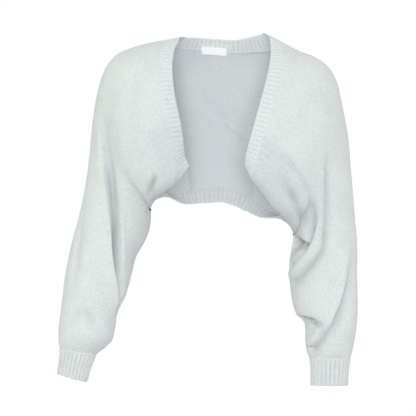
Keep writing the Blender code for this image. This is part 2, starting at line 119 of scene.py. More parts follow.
RIGHT_ROWS = [
    ring_row(-304, -38, -565, -236, -38, -577, 29, 29),
    ring_row(-306, -37, -557, -220, -37, -565, 38, 37),
    ring_row(-307, -35, -544, -207, -35, -551, 47, 45),
    ring_row(-307, -31, -524, -202, -31, -531, 54, 52),
    ring_row(-304, -22, -482, -197, -22, -499, 58, 57),
    ring_row(-298, -12, -437, -181, -12, -466, 61, 61),
    ring_row(-285, -3, -382, -170, -2, -430, 64, 65),
    ring_row(-272, 3, -329, -161, 5, -395, 68, 68),
    ring_row(-262, 7, -274, -146, 8, -367, 69, 68),
    ring_row(-252, 9, -208, -137, 9, -338, 70, 69),
    SectionRow(-246, 9, -146, -136, 9, -310, -136, 9, -310, 75, 74, 0.15, 0, 2.3),
    SectionRow(-240, 8, -102, -136, -18, -302, -136, 36, -302, 84, 82, 0.45, 0, 2.8),
    SectionRow(-232, 7, -68, -128, -39, -286, -129, 53, -289, 96, 91, 0.75, 0, 3),
    SectionRow(-220, 6, -37, -116, -54, -278, -118, 64, -283, 107, 98, 0.95, -1, 3),
    SectionRow(-199, 5, -13, -105, -66, -269, -105, 72, -279, 115, 103, 1, -3, 2.8),
    SectionRow(-172, 4, -1, -94, -75, -261, -89, 79, -277, 120, 106, 1, -6, 2.5),
    SectionRow(-140, 3, 9, -87, -82, -254, -76, 85, -274, 122, 106, 1, -10.5, 2.2),
    SectionRow(-109, 2, 16, -80, -87, -249, -62, 89, -271, 123, 106, 1, -15.5, 2),
]
LEFT_ROWS = [
    ring_row(242, -42, -584, 164, -42, -584, 31, 31),
    ring_row(245, -41, -573, 159, -41, -573, 39, 39),
    ring_row(248, -38, -556, 156, -38, -554, 47, 46),
    ring_row(251, -34, -533, 156, -33, -531, 53, 52),
    ring_row(253, -29, -510, 154, -28, -516, 57, 56),
    ring_row(255, -23, -482, 140, -22, -501, 60, 60),
    ring_row(256, -14, -438, 130, -12, -472, 63, 64),
    ring_row(255, -4, -382, 126, -2, -440, 66, 67),
    ring_row(251, 3, -319, 127, 5, -408, 69, 70),
    ring_row(247, 8, -255, 132, 9, -382, 70, 70),
    SectionRow(241, 9, -193, 136, 9, -357, 136, 9, -357, 75, 74, 0.15, 0, 2.3),
    SectionRow(235, 8, -144, 136, -18, -349, 136, 36, -349, 84, 82, 0.45, 0, 2.8),
    SectionRow(227, 7, -100, 126, -39, -331, 129, 53, -335, 96, 91, 0.75, 0, 3),
    SectionRow(216, 6, -62, 113, -54, -316, 118, 64, -326, 107, 98, 0.95, 1, 3),
    SectionRow(199, 5, -33, 98, -66, -303, 105, 72, -317, 115, 103, 1, 2.5, 2.8),
    SectionRow(175, 4, -15, 86, -75, -289, 89, 79, -308, 120, 106, 1, 4, 2.5),
    SectionRow(146, 3, -3, 72, -83, -272, 76, 85, -298, 122, 106, 1, 6, 2.2),
    SectionRow(117, 2, 11, 55, -91, -251, 62, 89, -288, 123, 106, 1, 8.5, 2),
]
NECK_ROWS = [
    NeckRow(-95, 24, 10, -54, 92, -269, 110, 14),
    NeckRow(-80, 39, 5, -46, 94, -268, 111, 23),
    NeckRow(-42, 54, 0, -25, 95, -267, 112, 32),
    NeckRow(8, 59, -4, 3, 95, -266, 115, 36),
    NeckRow(49, 55, -5, 27, 95, -272, 112, 32),
    NeckRow(89, 40, -2, 46, 94, -280, 111, 22),
    NeckRow(106, 23, 5, 54, 92, -285, 110, 12),
]
CUFF_ENDS = {
    Side.RIGHT: CuffEnd(-309, -46, -614, -255, -46, -629, 24, 24),
    Side.LEFT: CuffEnd(235, -50, -635, 167, -50, -635, 28, 28),
}
BACK_END = float(2 * len(RIGHT_ROWS) + len(NECK_ROWS) - 1)


class Crease(NamedTuple):
    """A crease along a run of (row, share) stops on a half, rows being those of its own side.

    Depth is in millimetres, negative for a ridge. Left and right are its widths on either hand when
    looking along the run from outside. The crest beside it has a height, a distance (positive to the
    left) and a width, and laps over the trough by some distance. Fades are the shares of its length
    over which its two ends die away. Shade is painted shade: it darkens the trough's colour beyond what
    its depth does.
    """

    half: Side
    back: bool
    run: Table
    depth: float
    left: float
    right: float
    crest: float
    crest_at: float
    crest_width: float
    lap: float
    fade_in: float
    fade_out: float
    shade: float = 0.0


R, L, B = Side.RIGHT, Side.LEFT, Side.BACK
CREASES = [
    # Right sleeve: the long crease, the soft ridge beside it, and the small overlap at the underarm
    Crease(R, False, ((11.0, 0.08), (10.28, 0.135), (9.73, 0.2), (9.19, 0.256), (8.49, 0.39), (7.54, 0.535),
                      (6.26, 0.694), (4.64, 0.914), (3.9, 1.0)), 18, 16, 5.5, 6, -12, 9, 8, 0.6, 0.1),
    Crease(R, False, ((10.2, 0.26), (9.19, 0.375), (8.49, 0.49), (7.54, 0.61), (6.26, 0.75), (4.9, 0.9)),
           4.5, 4, 12, 4.5, 9, 7, 0, 0.35, 0.25),
    Crease(R, False, ((12.6, 0.1), (11.4, 0.17), (10.2, 0.26), (9.2, 0.36), (8.2, 0.5), (7.0, 0.65)),
           5, 26, 14, 0, 0, 1, 0, 0.4, 0.3),
    Crease(R, False, ((14.2, 0.3), (12.49, 0.449), (10.8, 0.56), (9.03, 0.61), (7.79, 0.69), (6.42, 0.82),
                      (5.0, 0.93)), -6, 24, 18, 0, 0, 1, 0, 0.4, 0.2),
    Crease(R, False, ((13.6, 0.84), (13.24, 0.868), (12.3, 0.912), (11.8, 0.933), (11.3, 0.95)),
           8, 9, 5, 4, -9, 7, 2, 0.4, 0.6, 0.45),
    Crease(R, False, ((2.6, 0.1), (3.03, 0.188), (3.73, 0.345), (3.65, 0.561), (2.32, 0.755)),
           4.0, 14, 14, 0, 0, 1, 0, 0.4, 0.4),
    Crease(R, False, ((7.9, 0.03), (6.46, 0.095), (5.43, 0.147), (4.0, 0.19)),
           3.5, 14, 9, 0, 0, 1, 0, 0.4, 0.4),
    Crease(R, False, ((15.8, 0.18), (14.6, 0.3), (13.4, 0.45), (12.6, 0.6)),
           2.6, 22, 18, 1.5, -30, 20, 0, 0.4, 0.4),
    # Left sleeve: the thin crease, the roll beside it with its wide shaded side, and the dark tuck at
    # the underarm; then the second crease and the lobe under it
    Crease(L, False, ((12.3, 0.3), (12.0, 0.319), (11.09, 0.385), (10.44, 0.422), (9.4, 0.46), (8.24, 0.495),
                      (7.74, 0.525), (7.54, 0.605), (7.29, 0.754), (7.04, 0.893), (6.9, 1.0)),
           9, 15, 4.5, 4, -11, 9, 5, 0.45, 0.08),
    Crease(L, False, ((12.2, 0.73), (11.17, 0.71), (9.73, 0.658), (8.98, 0.672), (8.36, 0.717), (8.08, 0.838),
                      (7.58, 1.0)), 13, 5, 10, 4, 11, 8, 5, 0.45, 0.04),
    Crease(L, False, ((15.2, 0.77), (14.44, 0.811), (13.44, 0.83), (12.41, 0.85), (11.21, 0.86), (10.2, 0.83),
                      (9.23, 0.8)), 6, 15, 15, 0, 0, 1, 0, 0.5, 0.2, 0.45),
    Crease(L, False, ((9.7, 1.0), (9.4, 0.945), (8.94, 0.875), (8.5, 0.79), (8.24, 0.72)),
           18, 5, 13, 0, 0, 1, 0, 0.12, 0.2, 0.2),
    # Painted shade alone: a wide dark patch below the tuck, hardly sunk in
    Crease(L, False, ((9.6, 0.99), (9.2, 0.94), (8.5, 0.84)), 1, 30, 34, 0, 0, 1, 0, 0.02, 0.3, 0.9),
    Crease(L, False, ((7.6, 0.05), (6.71, 0.115), (6.1, 0.17), (5.4, 0.25), (4.5, 0.385), (2.98, 0.589),
                      (1.65, 0.856), (1.2, 1.0)), 10, 20, 5.5, 5, -11, 9, 5, 0.45, 0.1),
    Crease(L, False, ((4.5, 1.0), (4.1, 0.93), (3.75, 0.83), (3.6, 0.7), (3.5, 0.6)),
           12, 6, 14, 4, -9, 6, 5, 0.02, 0.45),
    Crease(L, False, ((3.5, 0.65), (2.98, 0.735), (2.23, 0.85), (1.49, 0.986)),
           5, 10, 6, 3, -8, 7, 2, 0.3, 0.1),
    # Hidden sides: like creases on the backs of both sleeves and long soft folds down the back
    Crease(R, True, ((10.9, 0.2), (9.6, 0.31), (8.2, 0.46), (6.6, 0.62), (4.9, 0.82), (3.9, 0.97)),
           12, 6, 22, 5, 12, 9, 5, 0.45, 0.15),
    Crease(R, True, ((12.6, 0.55), (11, 0.62), (9.2, 0.68), (7.6, 0.78)), 6, 20, 10, 2, -14, 10, 0, 0.4, 0.3),
    Crease(R, True, ((13.4, 0.83), (12.2, 0.9), (11.4, 0.94)), 5, 10, 7, 2, -11, 7, 0, 0.4, 0.6),
    Crease(L, True, ((10.6, 0.26), (9.2, 0.38), (7.6, 0.5), (6.0, 0.68), (4.6, 0.9)),
           11, 22, 6, 5, -12, 9, 5, 0.45, 0.15),
    Crease(L, True, ((6.4, 0.2), (5.2, 0.36), (3.9, 0.56), (2.4, 0.8)), 8, 6, 18, 4, 11, 8, 3, 0.35, 0.2),
    Crease(L, True, ((13.0, 0.6), (11.4, 0.66), (9.6, 0.72), (8.2, 0.84)),
           6, 10, 18, 2, 13, 10, 0, 0.4, 0.25),
    Crease(B, True, ((16.2, 0.2), (15.6, 0.45), (15.2, 0.72)), 3.5, 24, 18, 1.5, 30, 20, 0, 0.4, 0.4),
    Crease(B, True, ((25.8, 0.16), (26.4, 0.42), (26.6, 0.74)), 3.5, 18, 24, 1.5, -30, 20, 0, 0.4, 0.4),
    Crease(B, True, ((20.2, 0.44), (20.54, 0.455), (20.95, 0.503), (21.26, 0.539), (21.77, 0.574),
                     (22.28, 0.608), (23.0, 0.639), (23.8, 0.66)), -6, 4.5, 16, 0, 0, 1, 0, 0.3, 0.35),
]
# Where the narrowing of the left front is knitted in, as three fine lines side by side
MARK_RUN = (
    (16.4, 0.70), (15.76, 0.704), (14.64, 0.697), (13.4, 0.70), (12.16, 0.695), (11.09, 0.67), (10.4, 0.65),
)
# Row and share from which each front is darker: clearer lines of stitches, and painted shade towards the lower edge
# where the front turns under
PATCH_STARTS = {Side.RIGHT: (13.6, 0.52), Side.LEFT: (13.0, 0.6)}
# Slow waves of the whole cloth: height in millimetres, radians a millimetre along x, y and z, and phase
UNEVENNESS = (
    (0.8, (0.031, 0.012, 0.024), 0.3),
    (0.8, (-0.022, 0.035, 0.017), 1.9),
    (0.5, (0.047, -0.02, -0.031), 4.1),
    (0.45, (0.012, 0.05, -0.043), 2.6),
    (0.35, (-0.06, 0.01, 0.052), 5.2),
)


def unit(vectors: np.ndarray) -> np.ndarray:
    """The vectors at length one."""
    return vectors / np.maximum(np.linalg.norm(vectors, axis=-1, keepdims=True), 1e-9)


def soft_step(values: np.ndarray) -> np.ndarray:
    """A smooth rise from 0 to 1: 3x² - 2x³ of the values held to that range."""
    values = np.clip(values, 0, 1)
    return values**2 * (3 - 2 * values)


def run_lengths(points: np.ndarray, axis: int = 0) -> np.ndarray:
    """Distance of each point from the first one along the given axis of a line or grid."""
    steps = np.cumsum(np.linalg.norm(np.diff(points, axis=axis), axis=-1), axis=axis)
    return np.concatenate([np.zeros_like(steps.take([0], axis)), steps], axis=axis)


def yarn_places(lengthwise: np.ndarray, across: np.ndarray, groove: np.ndarray) -> np.ndarray:
    """What the knit patterns read: both places in the cloth, given in millimetres, and the groove's share of painted
    shade, below zero for painted light.
    """
    places = (np.broadcast_to(place, groove.shape) * MM for place in (lengthwise, across))
    return np.stack([*places, groove], axis=-1)


def smooth_rows(values: np.ndarray, at: np.ndarray) -> np.ndarray:
    """Values of a table between its rows: a cubic through each pair of rows with shared slopes.

    Args:
        values: the table, a row for each section.
        at: places in units of the table's rows.

    Returns:
        One interpolated row for each place.
    """
    values = np.asarray(values, float)
    at = np.asarray(at, float)
    low = np.clip(np.floor(at).astype(int), 0, len(values) - 2)
    t = (at - low)[:, None]
    before, start = values[np.maximum(low - 1, 0)], values[low]
    end, after = values[low + 1], values[np.minimum(low + 2, len(values) - 1)]
    slope_in, slope_out = (end - before) / 2, (after - start) / 2
    return (
        start * (2 * t**3 - 3 * t**2 + 1)
        + slope_in * (t**3 - 2 * t**2 + t)
        + end * (3 * t**2 - 2 * t**3)
        + slope_out * (t**3 - t**2)
    )


def along(points: np.ndarray, places: np.ndarray) -> np.ndarray:
    """Rows of an array read between its own rows, by straight interpolation.

    Args:
        points: array whose first axis is run along.
        places: places in units of that axis.

    Returns:
        The interpolated rows.
    """
    low = np.clip(np.floor(places).astype(int), 0, len(points) - 2)
    part = (places - low).reshape((-1,) + (1,) * (points.ndim - 1))
    return points[low] * (1 - part) + points[low + 1] * part


def eased(vectors: np.ndarray, reach: int) -> np.ndarray:
    """Vectors averaged over their neighbours with weights that fall off as a squared sine.

    Args:
        vectors: one vector a row.
        reach: how many neighbours count on each side.

    Returns:
        The averaged vectors.
    """
    padded = np.concatenate([vectors[:1]] * reach + [vectors] + [vectors[-1:]] * reach)
    weights = np.sin(np.pi * (np.arange(2 * reach + 1) + 1) / (2 * reach + 2)) ** 2
    return sum(w * padded[i : i + len(vectors)] for i, w in enumerate(weights)) / weights.sum()


def half_sections(
    over: np.ndarray,
    low: np.ndarray,
    deep: np.ndarray,
    sign: float,
    apex: np.ndarray,
    power: np.ndarray,
    start: np.ndarray,
    bow: np.ndarray,
    columns: int,
) -> tuple[np.ndarray, np.ndarray]:
    """Half sections: an ellipse quarter down to the apex share, then one of the given squareness.

    Depth follows the sine of an angle and height its cosine, so the half leaves the over point level
    and turns back to the low point. The points are then spaced evenly along the half.

    Args:
        over: over points.
        low: low points.
        deep: greatest depths.
        sign: -1 for a front, 1 for a back.
        apex: shares of the height at which the depth is greatest.
        power: squareness of the lower part.
        start: angles at the over points, in radians.
        bow: sideways bulges.
        columns: points in each half.

    Returns:
        Points and their shares of the way down, a row for each section.
    """
    shape = (-1, 1)
    deep, apex, power, start = (v.reshape(shape) for v in (deep, apex, power, start))
    end_depth = np.clip(np.sin(start) + sign * (low[:, 1:2] - over[:, 1:2]) / deep, 0.0, 0.9999)
    end_angle = np.pi - np.arcsin(end_depth ** (power / 2))
    ease = (1 - np.cos(np.linspace(0, np.pi, 360))) / 2
    angle = start + (end_angle - start) * ease
    sine, cosine = np.clip(np.sin(angle), 0, 1), np.cos(angle)
    depth = np.where(cosine >= 0, sine, sine ** (2 / power))
    down = np.where(cosine >= 0, apex * (1 - cosine), apex + (1 - apex) * np.abs(cosine) ** (2 / power))
    share = (down - down[:, :1]) / (down[:, -1:] - down[:, :1])
    points = over[:, None] + (low - over)[:, None] * share[..., None]
    points[..., 1] = over[:, 1:2] + sign * deep * (depth - depth[:, :1])
    points[..., 1] += (low[:, 1:2] - points[:, -1:, 1]) * share
    points[..., 0] += bow.reshape(shape) * np.sin(np.pi * np.sqrt(share)) ** 2
    layers = np.concatenate([points, share[..., None]], axis=2)
    spaced = []
    for run, layer in zip(run_lengths(points, 1), layers):
        evenly = np.linspace(0, run[-1], columns)
        spaced.append(np.stack([np.interp(evenly, run, part) for part in layer.T], axis=1))
    spaced = np.stack(spaced)
    return spaced[..., :3], spaced[..., 3]


@dataclass
class HalfGrid:
    """One half of the cloth: points on a grid of sections by columns, in millimetres."""

    at: np.ndarray
    points: np.ndarray
    shares: np.ndarray
    normals: np.ndarray = field(init=False)

    def __post_init__(self) -> None:
        """Works out the normals."""
        self.turn()

    def turn(self) -> None:
        """Normals as the cross product of the two directions of the grid, made to point outwards."""
        normals = unit(np.cross(np.gradient(self.points, axis=0), np.gradient(self.points, axis=1)))
        middle = (self.points[:, :1] + self.points[:, -1:]) / 2
        facing = ((self.points - middle) * normals).sum(axis=-1).mean()
        self.normals = normals if facing > 0 else -normals

    def place(self, run: np.ndarray) -> tuple[np.ndarray, np.ndarray]:
        """Points and normals at (row, share) stops.

        Args:
            run: the stops, one a row.

        Returns:
            Points and normals of the surface there.
        """
        rows = np.interp(run[:, 0], self.at, np.arange(len(self.at)))
        both = np.concatenate([self.points, self.normals, self.shares[..., None]], axis=2)
        lines = along(both, rows)
        read = [[np.interp(share, line[:, 6], part) for part in line.T[:6]] for share, line in zip(run[:, 1], lines)]
        read = np.array(read)
        return read[:, :3], unit(read[:, 3:])

    def lengths(self) -> np.ndarray:
        """Distance of each point from its over point along the section."""
        return run_lengths(self.points, 1)

    def stations(self) -> np.ndarray:
        """Distance of each section from the first, averaged over its columns."""
        steps = np.linalg.norm(np.diff(self.points, axis=0), axis=2).mean(axis=1)
        return np.concatenate([[0.0], np.cumsum(steps)])


@dataclass
class Cloth:
    """The whole knit surface with its creases, on three grids that share their edges."""

    columns: int = 120
    cuff_step: float = 0.12
    sleeve_step: float = 0.06
    body_step: float = 0.12
    neck_step: float = 0.16
    ease_reach: float = 1.1
    ease_power: float = 1.2
    ease_passes: int = 140
    wall: float = 2.2
    halves: dict[Side, HalfGrid] = field(init=False)
    base_lengths: dict[Side, np.ndarray] = field(init=False)
    # Painted shade of the creases, which darkens the knit's colour in their troughs
    crease_painted_shade: dict[Side, np.ndarray] = field(init=False)
    marks: dict[Side, np.ndarray] = field(init=False)

    def __post_init__(self) -> None:
        """Builds the grids and presses the creases in."""
        self.halves = self._grids()
        self._share_edges()
        self.base_lengths = {side: grid.lengths() for side, grid in self.halves.items()}
        self.marks = {side: self._mark(side) for side in self.halves}
        moves = {side: self._moves(side) for side in self.halves}
        self.crease_painted_shade = {side: crease_painted_shade for side, (_, crease_painted_shade) in moves.items()}
        for side, grid in self.halves.items():
            grid.points = grid.points + moves[side][0]
            grid.turn()
        self._share_edges()

    @property
    def armhole(self) -> int:
        """Index of the armhole's section in the side grids."""
        return int(np.argmin(np.abs(self.halves[Side.RIGHT].at - ARMHOLE_ROW)))

    def _side_at(self) -> np.ndarray:
        """Places of the sections of one side, closest together on the sleeve and at the armhole.

        Returns:
            The places in rows, cuff to front edge.
        """
        low = np.arange(0, 3, self.cuff_step)
        sleeve = np.linspace(3, ARMHOLE_ROW, int(7 / self.sleeve_step) + 1)[:-1]
        notch = np.linspace(ARMHOLE_ROW, 11, int(1 / (0.6 * self.body_step)) + 1)[:-1]
        return np.concatenate([low, sleeve, notch, np.linspace(11, LAST_ROW, int(6 / self.body_step) + 1)])

    def _back_table(self) -> np.ndarray:
        """The back's own table, cuff to cuff.

        Returns:
            Over point, low point, depth, start angle and squareness, a row for each section.
        """
        sides = []
        for rows in (RIGHT_ROWS, LEFT_ROWS):
            table = np.array(rows, float)
            start = np.zeros((len(table), 1))
            sides.append(np.hstack([table[:, :3], table[:, 6:9], table[:, 10:11], start, table[:, 13:14]]))
        neck = np.array(NECK_ROWS, float)
        neck = np.hstack([neck[:, :8], np.full((len(neck), 1), 2.0)])
        return np.concatenate([sides[0], neck, sides[1][::-1]])

    def _grids(self) -> dict[Side, HalfGrid]:
        """The three grids without creases.

        Returns:
            The grids by their half.
        """
        side_at = self._side_at()
        count = int((len(NECK_ROWS) + 1) / self.neck_step)
        neck_at = np.linspace(LAST_ROW, LAST_ROW + len(NECK_ROWS) + 1, count + 1)[1:-1]
        back_at = np.concatenate([side_at, neck_at, BACK_END - side_at[::-1]])
        table = self._back_table()
        grids = {}
        lows = {}
        sides = ((Side.RIGHT, RIGHT_ROWS, side_at), (Side.LEFT, LEFT_ROWS, BACK_END - side_at))
        for side, rows, there in sides:
            cells = smooth_rows(np.array(rows, float), side_at)
            beside = smooth_rows(table, there)
            low = cells[:, 3:6].copy()
            ring = side_at <= ARMHOLE_ROW
            low[ring] = (low[ring] + beside[ring, 3:6]) / 2
            lows[side] = low[ring]
            body = np.clip(cells[:, 11], 0, 1)
            points, shares = half_sections(
                beside[:, :3], low, cells[:, 9], -1, 0.5 + 0.2 * body, 2 + 1.5 * body,
                np.zeros(len(low)), cells[:, 12], self.columns,
            )
            grids[side] = HalfGrid(side_at, self._ease_armhole(points, shares, side_at), shares)
        cells = smooth_rows(table, back_at)
        low = cells[:, 3:6].copy()
        low[: len(lows[Side.RIGHT])] = lows[Side.RIGHT]
        low[len(low) - len(lows[Side.LEFT]) :] = lows[Side.LEFT][::-1]
        start = np.radians(np.maximum(cells[:, 7], 0))
        half = np.full(len(low), 0.5)
        points, shares = half_sections(
            cells[:, :3], low, cells[:, 6], 1, half, cells[:, 8], start, np.zeros(len(low)), self.columns
        )
        near = np.minimum(back_at, BACK_END - back_at)
        grids[Side.BACK] = HalfGrid(back_at, self._ease_armhole(points, shares, near), shares)
        return grids

    def _ease_armhole(self, points: np.ndarray, shares: np.ndarray, at: np.ndarray) -> np.ndarray:
        """Rounds the turn from sleeve to body by averaging each section with its neighbours many times.

        Args:
            points: the grid's points.
            shares: their shares of the way down; the lower edge itself keeps its sharp crook.
            at: places of the sections, counted from the nearer cuff.

        Returns:
            The eased points.
        """
        weight = 0.5 * np.exp(-(((at[1:-1, None] - ARMHOLE_ROW) / self.ease_reach) ** 2))
        weight = weight * (1 - shares[1:-1]) ** self.ease_power
        points = points.copy()
        for _ in range(self.ease_passes):
            points[1:-1] += weight[..., None] * ((points[:-2] + points[2:]) / 2 - points[1:-1])
        return points

    def _share_edges(self) -> None:
        """Gives the halves the same points and normals where they meet."""
        back = self.halves[Side.BACK]
        for side in (Side.RIGHT, Side.LEFT):
            front = self.halves[side]
            index = np.arange(len(front.at))
            if side is Side.LEFT:
                index = len(back.at) - 1 - index
            ring = index[: self.armhole + 1]
            for column, rows, here in ((0, index, slice(None)), (-1, ring, slice(0, len(ring)))):
                points = (front.points[here, column] + back.points[rows, column]) / 2
                normals = unit(front.normals[here, column] + back.normals[rows, column])
                front.points[here, column], back.points[rows, column] = points, points
                front.normals[here, column], back.normals[rows, column] = normals, normals

    def _mark(self, side: Side) -> np.ndarray:
        """Where the knitted-in lines run, on the left front alone, and the patches of both fronts, which carry
        stitch lines and painted shade.

        A patch is the product of soft steps along the rows and down the section.

        Args:
            side: the half.

        Returns:
            Distance from the lines in metres, their clearness and the patch's, from 0 to 1, at each point.
        """
        grid = self.halves[side]
        marks = np.zeros(grid.points.shape)
        if side is Side.BACK:
            return marks
        first, top = PATCH_STARTS[side]
        beyond, below = soft_step(grid.at[:, None] - first), soft_step((grid.shares - top) / 0.14)
        # The patch: painted shade low on the front, where it turns under, and clearer stitch lines
        marks[..., 2] = beyond * below * (0.3 + 0.7 * soft_step((0.95 - grid.shares) / 0.1))
        if side is Side.RIGHT:
            return marks
        run = smooth_rows(np.array(MARK_RUN), np.linspace(0, len(MARK_RUN) - 1, 80))[::-1]
        middle = np.interp(grid.at, run[:, 0], run[:, 1])
        across = (grid.shares - middle[:, None]) * self.base_lengths[side][:, -1:]
        slope = np.gradient(middle * self.base_lengths[side][:, -1], np.maximum(grid.stations(), 1e-3))
        clear = np.clip((grid.at - 10.4) / 1.2, 0, 1) * np.clip((16.4 - grid.at) / 2.0, 0, 1)
        marks[..., 0] = across / np.sqrt(1 + np.clip(slope, -2, 2)[:, None] ** 2) * MM
        marks[..., 1] = clear[:, None]
        return marks

    def _moves(self, side: Side) -> tuple[np.ndarray, np.ndarray]:
        """How the creases and the cloth's slight unevenness move the points of a half.

        Each crease is a trough whose cross section is a bell curve of the distance from its run, wider
        on one hand than on the other, with a crest of the same shape beside it that leans over the
        trough. The unevenness is a sum of five slow sine waves through the cloth's position.

        Args:
            side: the half.

        Returns:
            Moves in millimetres, and the painted shade of the creases at each point, from 0 to 1.
        """
        grid = self.halves[side]
        points, normals = grid.points.reshape(-1, 3), grid.normals.reshape(-1, 3)
        crease_painted_shade = np.zeros(len(points))
        moves = np.zeros(points.shape)
        for number, crease in enumerate(CREASES):
            run = np.array(crease.run, float)
            home = self.halves[Side.BACK if crease.back else crease.half]
            if crease.back and crease.half is Side.LEFT:
                run[:, 0] = BACK_END - run[:, 0]
            stops = np.linspace(0, len(run) - 1, 12 * (len(run) - 1) + 1)
            line, facing = home.place(smooth_rows(run, stops))
            move, depth = self._press(points, normals, eased(line, 5), facing, crease, number)
            moves += move
            crease_painted_shade = np.maximum(crease_painted_shade, depth)
        for size, turns, phase in UNEVENNESS:
            moves += normals * (size * np.sin(points @ np.array(turns) + phase))[:, None]
        return moves.reshape(grid.points.shape), crease_painted_shade.reshape(grid.shares.shape)

    @staticmethod
    def _press(
        points: np.ndarray,
        normals: np.ndarray,
        line: np.ndarray,
        facing: np.ndarray,
        crease: Crease,
        number: int,
    ) -> tuple[np.ndarray, np.ndarray]:
        """How one crease moves each point, from the point's distance to the nearest piece of the run.

        Args:
            points: surface points.
            normals: their normals.
            line: points of the run.
            facing: the surface's normals along the run.
            crease: the crease.
            number: its place in the table, which shifts its unevenness.

        Returns:
            Moves in millimetres, and the painted shade of the trough at each point.
        """
        reach = 3.2 * max(crease.left, crease.right, abs(crease.crest_at) + crease.crest_width)
        near = np.flatnonzero(
            ((points > line.min(axis=0) - reach) & (points < line.max(axis=0) + reach)).all(axis=1)
        )
        moves, depth = np.zeros(points.shape), np.zeros(len(points))
        if not len(near):
            return moves, depth
        here = points[near]
        start, step = line[:-1], np.diff(line, axis=0)
        offset = here[:, None] - start
        t = np.clip((offset * step).sum(axis=2) / (step**2).sum(axis=1), 0, 1)
        gap = offset - t[..., None] * step
        distance = np.linalg.norm(gap, axis=2)
        nearest = distance.argmin(axis=1)
        pick = np.arange(len(here))
        gap, distance, t = gap[pick, nearest], distance[pick, nearest], t[pick, nearest]
        aside = unit(np.cross(facing[nearest], step[nearest]))
        across = np.sign((aside * gap).sum(axis=1)) * distance
        gone = run_lengths(line)
        way = (gone[nearest] + t * np.diff(gone)[nearest]) / gone[-1]
        fade = soft_step(np.clip(way / crease.fade_in, 0, 1) * np.clip((1 - way) / crease.fade_out, 0, 1))
        fade *= 1 + 0.16 * np.sin(9.1 * way + 1.7 * number) + 0.08 * np.sin(23.0 * way + number)
        same = np.clip((normals[near] * facing[nearest]).sum(axis=1) * 1.6 - 0.2, 0, 1)
        width = np.where(across > 0, crease.left, crease.right)
        trough = np.exp(-((across / width) ** 2))
        crest = np.exp(-(((across - crease.crest_at) / crease.crest_width) ** 2))
        rise = crease.crest * crest - crease.depth * trough
        lean = -np.sign(crease.crest_at) * crease.lap * crest
        moves[near] = (fade * same)[:, None] * (normals[near] * rise[:, None] + aside * lean[:, None])
        # Painted shade, returned as depth: a bell narrower than the trough, darker for deep creases and for those
        # given shade
        narrow = np.exp(-((across / (0.6 * width)) ** 2))
        depth[near] = fade * same * narrow * np.clip(crease.depth / 12 + crease.shade, 0, 1.7)
        return moves, depth


def outward_quads(points: np.ndarray, outwards: np.ndarray, ring: bool) -> np.ndarray:
    """Faces of a grid of points, wound so that they face outwards.

    Args:
        points: the grid, rows by columns.
        outwards: a vector at each point that leads out of the body.
        ring: True where the last column joins the first.

    Returns:
        Numbers of the points, four a face.
    """
    rows, columns = points.shape[:2]
    i, j = np.meshgrid(np.arange(rows - 1), np.arange(columns if ring else columns - 1), indexing="ij")
    row, k = i * columns, (j + 1) % columns
    quads = np.stack([row + j, row + columns + j, row + columns + k, row + k], axis=-1).reshape(-1, 4)
    corners = points.reshape(-1, 3)[quads]
    facing = np.cross(corners[:, 2] - corners[:, 0], corners[:, 3] - corners[:, 1])
    if (facing * outwards.reshape(-1, 3)[quads].mean(axis=1)).sum() < 0:
        quads = quads[:, ::-1]
    return quads


def new_piece(name: str, points: np.ndarray, faces: list, vectors: dict[str, np.ndarray]) -> bpy.types.Object:
    """A smooth mesh object, linked to the scene.

    Args:
        name: name of the piece.
        points: its points in millimetres.
        faces: numbers of each face's points.
        vectors: vector attributes on the points, by name.

    Returns:
        The object.
    """
    mesh = bpy.data.meshes.new(name)
    mesh.from_pydata((points * MM).tolist(), [], faces)
    mesh.shade_smooth()
    for attribute, values in vectors.items():
        spot = mesh.attributes.new(attribute, "FLOAT_VECTOR", "POINT")
        spot.data.foreach_set("vector", values.astype(np.float32).ravel())
    piece = bpy.data.objects.new(name, mesh)
    bpy.context.scene.collection.objects.link(piece)
    return piece


def closed_wall(
    name: str,
    outer: np.ndarray,
    inner: np.ndarray,
    yarn: np.ndarray,
    ring: bool,
    inner_groove: np.ndarray | float | None = None,
    normals: np.ndarray | None = None,
    marks: np.ndarray | None = None,
) -> bpy.types.Object:
    """A closed wall between two grids of points: two faces and the strips that join their edges.

    Args:
        name: name of the piece.
        outer: outer points in millimetres, rows by columns.
        inner: inner points.
        yarn: what the knit patterns read at each point, rows by columns by three.
        ring: True where the last column joins the first.
        inner_groove: groove value of the inner face, or None for the outer face's.
        normals: outward normals of the outer points, or None to smooth the mesh's own.
        marks: distance from the knitted-in lines, their clearness and the patch's, or None for a rib or
            a label.

    Returns:
        The new object, riding on nothing yet.
    """
    rows, columns = outer.shape[:2]
    count = rows * columns
    quads = outward_quads(outer, outer - inner, ring)
    faces = [quads, quads[:, ::-1] + count]
    across, down = np.arange(columns if ring else columns - 1), np.arange(rows - 1) * columns
    beside = (across + 1) % columns
    ends = [np.stack([first + across, first + beside], axis=1) for first in (0, count - columns)]
    if not ring:
        ends += [np.stack([down + column, down + columns + column], axis=1) for column in (0, columns - 1)]
    edges = set(map(tuple, np.concatenate([quads[:, [a, (a + 1) % 4]] for a in range(4)]).tolist()))
    for end in ends:
        first, second = end.T[::-1] if tuple(end[0].tolist()) in edges else end.T
        faces.append(np.stack([first, second, second + count, first + count], axis=1))
    within = yarn.reshape(-1, 3).copy()
    if inner_groove is not None:
        within[:, 2] = np.ravel(inner_groove)
    vectors = {"yarn": np.concatenate([yarn.reshape(-1, 3), within])}
    if marks is not None:
        vectors["mark"] = np.concatenate([marks.reshape(-1, 3)] * 2)
    points = np.concatenate([outer.reshape(-1, 3), inner.reshape(-1, 3)])
    piece = new_piece(name, points, np.concatenate(faces).tolist(), vectors)
    piece.data.validate()
    piece.data.update()
    if normals is not None:
        flat = normals.reshape(-1, 3)
        piece.data.normals_split_custom_set_from_vertices(np.concatenate([flat, -flat]).tolist())
    return piece


